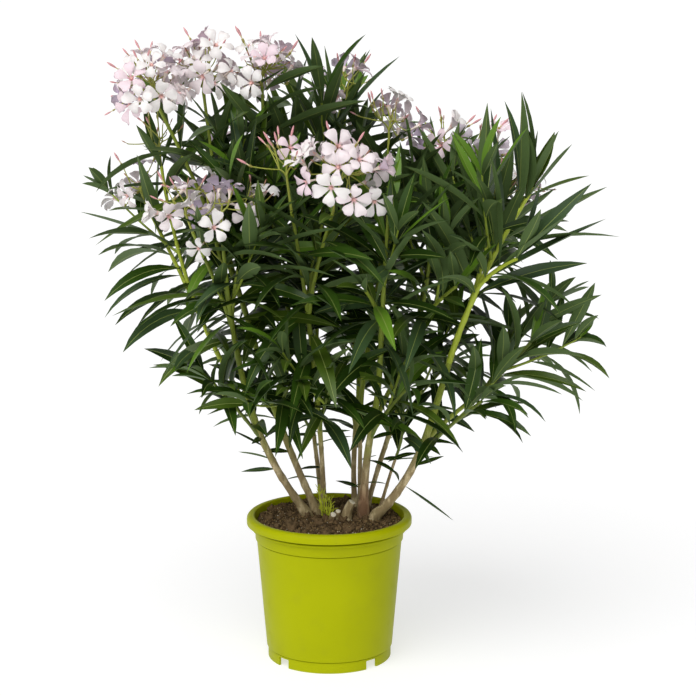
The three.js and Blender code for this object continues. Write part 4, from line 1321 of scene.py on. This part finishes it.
def leaf_side(columns, side):
    """One side of the blade: a grid whose columns are drawn in to the outline and merge at both ends."""
    bm = bmesh.new()
    bmesh.ops.create_grid(bm, x_segments=len(columns) - 1, y_segments=LEAF_ROWS, size=1)
    for vert in bm.verts:
        across = columns[round((vert.co.x + 1) / 2 * (len(columns) - 1))]
        share = (vert.co.y + 1) / 2
        share = share + 0.06 * math.sin(math.pi * share) * (0.5 - share) - 0.05 * share * (1 - share)
        width = leaf_width(share)
        is_rib = abs(across) <= RIB
        place = across * min(1, 3 * width) * (1 - 0.6 * share) if is_rib else across * width
        depth = 0.0 if side == LEAF_TOP or abs(across) == 1 or width == 0 else -2.0
        vert.co = (place if width else 0, share, depth)
    for face in bm.faces:
        face.material_index = LEAF_RIB if abs(face.calc_center_median().x) < 0.02 else side
    return bm


def leaf_template():
    """Corners as (across, share along, depth), which `place_leaves` turns into places."""
    top = leaf_side((-1, -0.56, -RIB, RIB, 0.56, 1), LEAF_TOP)
    under = leaf_side((-1, -RIB, RIB, 1), LEAF_UNDER)
    bmesh.ops.reverse_faces(under, faces=under.faces)
    bm = merged([mesh_from(top), mesh_from(under)])
    bmesh.ops.remove_doubles(bm, verts=bm.verts, dist=1e-5)
    return Template(bm)


leaf_shape = leaf_template()
print(f"leaf {len(leaf_shape.counts)} faces, {len(leaf_shape.corners)} corners")

# %% [markdown]
# Leaves sit in whorls of three, each turned against the whorl below. At a shoot's tip they are young,
# short and folded up round it. Lower down they open, grow to full size and droop. The rule is the
# source's, with whorls closer together. A leaf is tried a few times, and left out if it would touch the
# pot, a stem of another twig or a flower, or leave the model's box. Other rules give the crown its shape:
# its underside, its shoulders, and the leaders that show between the leaves.

# %% Grow the leaves
LEAF = {
    "length": 0.153, "half_width": 0.0106, "thickness": 0.0004, "droop": 0.25, "low_droop": 0.30,
    "tip_angle": 22, "low_angle": 78, "open_below": 0.17, "small_below": (0.300, 0.450),
    "young": 0.60, "low": 0.66, "fine": 0.82, "tries": 4, "headroom": 0.014,
    "hangs_from": 0.36, "hangs_to": 0.60, "bend": 2.2, "fold": 0.62, "unfolds": 0.42, "slimmest": 0.40,
    "taller_upright": 0.45,
}
# The crown's underside is lowest in a ring round the stems: it rises from there outwards, and inwards too.
SKIRT = {"height": 0.214, "slope": 0.62, "right": -0.75, "middle": 0.370, "inwards": -0.55}
# The shares of a leader that no leaf hides from the front.
SHOWN = {"foliage_right": (0, 0.75), "foliage_left_side": (0.5, 1)}
UPRIGHT = {"foliage_right": 0.90, "foliage_top_centre": 0.55}  # masses whose youngest leaves stand up tall
# Above a height no leaf pokes out past the highest clusters on the left, or past a slope on the right.
SHOULDER = {"above": 0.70, "left": -0.285, "right": 0.37, "slope": -0.8}
YOUNG_WITHIN = 0.045  # how far from the tip leaves are young
# How far a leaf's middle line stays from other things, and how far it may leave the model's box.
CLEAR = {"shown": 0.011, "wood": 0.0065, "flowers": 0.020, "outside": 0.004}
STRAIGHT = 1e-3  # the least bend, because the sums divide by it


# How much leaves differ: the angle off the twig and the turn round it in degrees, and the rest in shares.
VARY = {
    "angle": 10, "turn": 20, "size": 0.14, "width": 0.12,
    "droop": 0.16, "roll": 0.6, "twist": 0.7, "fold": 0.12,
}


def limb_points():
    """Points along every limb and twig, which leaves keep clear of, and which of them each belongs to."""
    curves = [c for c, _ in limbs.values()] + [t["curve"] for t in twigs]
    points = [point_on(c[None], np.linspace(0.04, 0.98, 24)) for c in curves]
    owner = np.repeat(np.arange(len(curves)) - len(limbs), 24)
    return np.concatenate(points), owner


wood_points, wood_owner = limb_points()
flower_points = np.array(head_points)
core_points = np.array([core[0] for core in cluster_cores])
core_radii = np.array([core[1] for core in cluster_cores])
shown_points = np.concatenate([
    point_on(twig["curve"][None], np.linspace(*SHOWN[twig["mass"]], 12))
    for twig in twigs if twig["mass"] in SHOWN and twig["leader"]
])


# %% Where a leaf runs, and how it is shaped
def leaf_line(leaf, shares):
    """Points on a leaf's middle line, which bends evenly from its heading away from its upper side."""
    bend = leaf["bend"] if abs(leaf["bend"]) > STRAIGHT else STRAIGHT
    forward = np.sin(bend * shares) / bend
    down = (1 - np.cos(bend * shares)) / bend
    lift = leaf["lift"]
    return leaf["base"] + leaf["length"] * (forward[:, None] * leaf["heading"] - down[:, None] * lift)


def tints_of(to_tip, base, upright):
    """Which chances a leaf's colour has: young ones are fresh green, though less so low in the crown."""
    # Upright leaves get the grey tint most often, which is partly a painted sheen.
    if upright > 0.3:
        return "upright"
    if to_tip > 0.04:
        # Older leaves on the crown's two sides get lighter tints: painted light, where the sides of the crown
        # catch more light.
        return "outer" if abs(base[0]) > 0.13 else "old"
    return "young" if base[2] > 0.47 else "low"


def shape_leaf(twig, share, turn, length):
    """The settings of one leaf, at a share of a twig of that length and a turn round it in degrees."""
    curve = twig["curve"]
    base, heading = both_on(curve, share)
    to_tip = (1 - share) * length
    openness = min(1, to_tip / LEAF["open_below"])
    if twig["flowers"]:
        openness = 0.5 + 0.5 * openness
    angle = LEAF["tip_angle"] + (LEAF["low_angle"] - LEAF["tip_angle"]) * openness**0.8
    angle += jitter(VARY["angle"])
    leaving = unit(leaned(heading, math.radians(turn + jitter(VARY["turn"])), math.radians(angle)))
    upright = 0 if twig["fine"] else UPRIGHT.get(twig["mass"], 0) * (1 - openness)
    leaving = unit(leaving + np.array([0, 0, upright]))
    low, high = LEAF["small_below"]
    rise = np.clip((base[2] - low) / (high - low), 0, 1)
    age = min(1, to_tip / YOUNG_WITHIN)
    size = (LEAF["young"] + (1 - LEAF["young"]) * age) * (LEAF["low"] + (1 - LEAF["low"]) * rise)
    size *= (1 + jitter(VARY["size"])) * (LEAF["fine"] if twig["fine"] else 1)
    size *= 1 + LEAF["taller_upright"] * upright
    sink = 1 - np.clip((base[2] - LEAF["hangs_from"]) / (LEAF["hangs_to"] - LEAF["hangs_from"]), 0, 1)
    droop = LEAF["droop"] * (0.30 + openness * (1 - abs(leaving[2]))) + LEAF["low_droop"] * sink
    droop += jitter(VARY["droop"])
    up = heading + np.array([0, 0, 0.6 + 1.2 * sink])
    lift = unit(up - leaving * (up @ leaving))
    width = LEAF["half_width"] * (LEAF["slimmest"] + (1 - LEAF["slimmest"]) * size)
    return {
        "base": base, "heading": leaving, "lift": lift, "length": LEAF["length"] * size,
        "half_width": width * (1 + jitter(VARY["width"])), "bend": LEAF["bend"] * droop,
        "roll": jitter(VARY["roll"]), "twist": jitter(VARY["twist"]),
        "fold": LEAF["fold"] - LEAF["unfolds"] * openness + jitter(VARY["fold"]),
        "tints": tints_of(to_tip, base, upright),
    }


# %% Where a leaf has room
def leaf_fits(leaf, owner, reaching):
    """Whether a twig's leaf has room. A reaching leaf may pass the crown's shoulder."""
    line = leaf_line(leaf, np.array([0.25, 0.4, 0.55, 0.7, 0.85, 1.0]))
    if line[:, 2].min() < POT_HEIGHT + LEAF["headroom"]:
        return False
    away = np.hypot(line[:, 0], line[:, 1])
    skirt = SKIRT["height"] + away * (SKIRT["slope"] + SKIRT["right"] * line[:, 0])
    skirt = np.maximum(skirt, SKIRT["middle"] + away * SKIRT["inwards"])
    if (line[:, 2] < skirt).any():
        return False
    apart = line[:, None] - shown_points[None]
    if ((np.hypot(apart[..., 0], apart[..., 2]) < CLEAR["shown"]) & (apart[..., 1] < 0)).any():
        return False
    if (line < REACH_LOW - CLEAR["outside"]).any() or (line > REACH_HIGH + CLEAR["outside"]).any():
        return False
    over = line[-1, 2] - SHOULDER["above"]
    right = SHOULDER["right"] + SHOULDER["slope"] * over
    if over > 0 and not reaching and not SHOULDER["left"] < line[-1, 0] < right:
        return False
    others = wood_points[wood_owner != owner]
    if (np.linalg.norm(line[:, None] - others[None], axis=2) < CLEAR["wood"]).any():
        return False
    if (np.linalg.norm(line[:, None] - core_points[None], axis=2) < core_radii[None]).any():
        return False
    return not (np.linalg.norm(line[:, None] - flower_points[None], axis=2) < CLEAR["flowers"]).any()


def add_whorl(owner, share, number, size=1, reaching=False):
    """Three leaves round a twig, turned against the whorls before and after."""
    for i in range(3):
        for _ in range(LEAF["tries"]):
            leaf = shape_leaf(twigs[owner], share, 120 * i + 60 * number, twig_lengths[owner])
            leaf["length"] *= size
            if leaf_fits(leaf, owner, reaching):
                leaves.append(leaf)
                break


# %% Leaves in every whorl
leaves = []
for owner, twig in enumerate(twigs):
    whorls = max(2, round(twig_lengths[owner] * (1 - twig["leafy"]) / twig["gap"]) + 1)
    for number in range(whorls):
        add_whorl(owner, twig["leafy"] + (0.985 - twig["leafy"]) * number / (whorls - 1), number)
print(f"{len(leaves)} leaves")

# %% [markdown]
# The rules leave some twigs without a leaf at the tip, and a bare blunt end looks broken off. So each of
# these gets two whorls of young leaves, which may reach past the crown's shoulder.

# %% Tufts on bare tips
TUFT = {"least": 2, "within": 0.030, "shares": (0.925, 0.985), "size": 0.62}
tufted = 0
for owner, twig in enumerate(twigs):
    from_tip = [np.linalg.norm(leaf["base"] - twig["curve"][2]) for leaf in leaves]
    if twig["flowers"] or sum(away < TUFT["within"] for away in from_tip) >= TUFT["least"]:
        continue
    tufted += 1
    for number, share in enumerate(TUFT["shares"]):
        add_whorl(owner, share, number, TUFT["size"], reaching=True)
print(f"{tufted} bare tips, {len(leaves)} leaves with their tufts")

# %% [markdown]
# A few small narrow leaves still hang on the bare stems, and one long thin one droops past the rim.

# %% Last leaves on the stems
LOW_LEAVES = {  # how far up a stem, and the leaf's azimuth: 0 points to the right, 90 to the back
    "stem_left_outer": ((0.50, 175), (0.60, 200), (0.72, 160), (0.80, 250)),
    "stem_left_inner": ((0.46, 20), (0.62, 200), (0.76, 330)),
    "stem_mid_left": ((0.55, 15), (0.68, 340), (0.80, 90)),
    "stem_mid_right": ((0.30, 185), (0.66, 100)),
    "stem_centre": ((0.58, 320), (0.80, 20)),
    "stem_mid_thin": ((0.24, 150), (0.52, 60)),
    "stem_back": ((0.60, 70), (0.78, 120)),
    "stem_back_right": ((0.55, 30), (0.75, 80)),
    "stem_right": ((0.62, 345), (0.74, 200), (0.82, 300)),
    "stem_low_right": ((0.45, 200), (0.70, 280), (0.92, 10)),
}
HANGING = {"stem": "stem_right", "share": 0.44, "azimuth": -10, "fall": -0.62, "length": 0.092}


def low_leaf(stem, share, azimuth, rise, length, half_width):
    """A leaf straight off a stem, whose heading rises or falls by a slope."""
    turn = math.radians(azimuth)
    heading = unit(np.array([math.cos(turn), math.sin(turn), rise]))
    lift = unit(np.array([0, 0, 1.0]) - heading * heading[2])
    return {
        "base": point_on(limbs[stem][0], share), "heading": heading, "lift": lift, "length": length,
        "half_width": half_width, "bend": 0.3 + jitter(0.4), "roll": jitter(0.8), "twist": jitter(0.5),
        "fold": 0.3, "tints": "old",
    }


for stem, places in LOW_LEAVES.items():
    for share, azimuth in places:
        leaves.append(low_leaf(stem, share, azimuth, 0.2 + jitter(0.25), 0.052 + jitter(0.012), 0.0042))
leaves.append(low_leaf(
    HANGING["stem"], HANGING["share"], HANGING["azimuth"], HANGING["fall"], HANGING["length"], 0.0026
))
print(f"{len(leaves)} leaves with the last on the stems")


# %% [markdown]
# Now all leaves are placed at once. For every leaf and every corner of the template the arrays below hold
# the middle line's point, the side and the lift there. The fold raises both halves of the blade, and roll
# and twist turn it about its middle line, so that no two leaves catch the light alike.

# %% Place the leaves
def place_leaves(template, some):
    """The template's corners for every leaf."""
    across, share, depth = template.corners.T
    bend = pick(some, "bend")
    bend = np.where(np.abs(bend) < STRAIGHT, STRAIGHT, bend)[:, None]
    heading, lift = pick(some, "heading")[:, None], pick(some, "lift")[:, None]
    angle = bend * share[None]
    forward, down = np.sin(angle) / bend, (1 - np.cos(angle)) / bend
    length = pick(some, "length")[:, None, None]
    line = pick(some, "base")[:, None] + length * (forward[..., None] * heading - down[..., None] * lift)
    side = np.cross(heading, lift)
    up = lift * np.cos(angle)[..., None] + heading * np.sin(angle)[..., None]
    turn = (pick(some, "roll")[:, None] + pick(some, "twist")[:, None] * share[None])[..., None]
    side, up = side * np.cos(turn) + up * np.sin(turn), up * np.cos(turn) - side * np.sin(turn)
    out = across[None] * pick(some, "half_width")[:, None]
    fold = pick(some, "fold")[:, None] * np.abs(out) * (1.15 - 0.45 * np.abs(across[None]))
    thick = depth[None] * LEAF["thickness"]
    return line + side * out[..., None] + up * (fold + thick)[..., None]


# %% The leaves' finishes and pieces
WAXY = {"Specular_IOR_Level": 0.26}
leaf_under = Finish("leaf_underside", "4f6536", 0.60, **WAXY)
leaf_rib = Finish("leaf_midrib", "88974f", 0.5, **WAXY)
# The grey tint is partly the leaves' own dull tone and partly a painted sheen.
LEAF_TINTS = {"deep": "1d3208", "middle": "2e4910", "olive": "425816", "grey": "394f2e", "fresh": "5c8023"}
CHANCES = {
    "old": (0.42, 0.30, 0.14, 0.14, 0), "young": (0, 0.30, 0.15, 0.05, 0.50),
    "low": (0.20, 0.45, 0.25, 0, 0.10), "upright": (0.06, 0.24, 0.20, 0.35, 0.15),
    # The chances for the crown's sides lean to lighter tints as painted light.
    "outer": (0.22, 0.32, 0.26, 0.12, 0.08),
}
kinds = [draw.choice(list(LEAF_TINTS), p=CHANCES[leaf["tints"]]) for leaf in leaves]
for tint, colour in LEAF_TINTS.items():
    some = [leaf for leaf, kind in zip(leaves, kinds) if kind == tint]
    blade = Finish(f"leaf_{tint}", colour, 0.34, **WAXY)
    mesh = joined(leaf_shape, place_leaves(leaf_shape, some))
    add_piece(f"leaves_{tint}", mesh, [blade, leaf_under, leaf_rib], all_masses)

# %% [markdown]
# One flower has opened by itself, below the cluster at the front on the left. It is one more copy of each
# flower shape, on a stalk that leaves the side of the twig under that cluster.

# %% A flower by itself
LONE = {"mass": "foliage_left_front", "share": 0.80, "shape": 1, "stalk": (0.0010, 0.0008)}
lone = {
    "centre": np.array([-0.177, -0.120, 0.617]),
    "facing": unit(np.array([-0.42, -0.72, -0.38])),
    "size": 0.80,
}
lone_twig = next(t for t in twigs if t["mass"] == LONE["mass"] and t["leader"])
lone_root = point_on(lone_twig["curve"], LONE["share"])
lone_back = lone["centre"] - lone["facing"] * TUBE_LENGTH * lone["size"]
for name, template, finishes in (
    ("lone_petals", flower_shapes[LONE["shape"]], petal_finishes["white"]),
    ("lone_tube", flower_tube, [tube_finish, throat_pink]),
    ("lone_fringe", fringe, [throat_pink]),
    ("lone_calyx", calyx, [calyx_finish]),
):
    add_piece(name, joined(template, posed(template, [lone])), finishes)
lone_middle = (lone_root + lone_back) / 2 - np.array([0, 0, 0.006])
lone_curve = np.array([[lone_root, lone_middle, lone_back]])
lone_copies = bend_tubes(stalk_tube, lone_curve, *(np.array([radius]) for radius in LONE["stalk"]))
add_piece("lone_stalk", joined(stalk_tube, lone_copies), [stalk_finish])

# %% [markdown]
# ## Young shoots at the foot
# Beside the stems stands a tuft of thin yellow-green shoots. Each is a fine stalk with whorls of needle
# leaves, so the tube and the leaf templates serve once more, only smaller.

# %% Young shoots
SPROUTS = {"foot": (-0.006, -0.001), "count": 9, "tall": 0.044, "short": 0.017, "spread": 0.022}
sprout_stalks = []
sprout_leaves = []
for i in range(SPROUTS["count"]):
    share = i / (SPROUTS["count"] - 1)
    aside = np.array([SPROUTS["spread"] * (share - 0.42) + jitter(0.002), jitter(0.006), 0])
    foot = np.array([*SPROUTS["foot"], GROUND - 0.002]) + aside * 0.4
    top = foot + aside * 0.6
    top[2] += SPROUTS["tall"] + (SPROUTS["short"] - SPROUTS["tall"]) * share + jitter(0.003)
    curve = np.array([foot, (foot + top) / 2 + np.array([jitter(0.003), jitter(0.003), 0]), top])
    sprout_stalks.append(curve)
    whorls = int(length_of(curve) / 0.0055)
    for whorl in range(1, whorls + 1):
        base, heading = both_on(curve, whorl / whorls)
        for blade in range(2):
            around = math.radians(180 * blade + 90 * whorl + jitter(30))
            leaving = unit(heading + 0.5 * beside_at(heading, around))
            sprout_leaves.append({
                "base": base, "heading": leaving, "lift": unit(heading - leaving * (heading @ leaving)),
                "length": 0.0080 + jitter(0.0025), "half_width": 0.0006, "bend": jitter(0.6), "roll": 0,
                "twist": jitter(0.6), "fold": 0.3,
            })
sprout_finish = Finish("sprout", "bcc438", 0.5, Specular_IOR_Level=0.3)
stalk_ends = np.full(len(sprout_stalks), 0.0007)
sprout_mesh = joined_kinds([
    (leaf_shape, place_leaves(leaf_shape, sprout_leaves)),
    (stalk_tube, bend_tubes(stalk_tube, np.array(sprout_stalks), stalk_ends * 1.4, stalk_ends)),
])
add_piece("young_shoots", sprout_mesh, [sprout_finish] * 3, ["sprouts"])
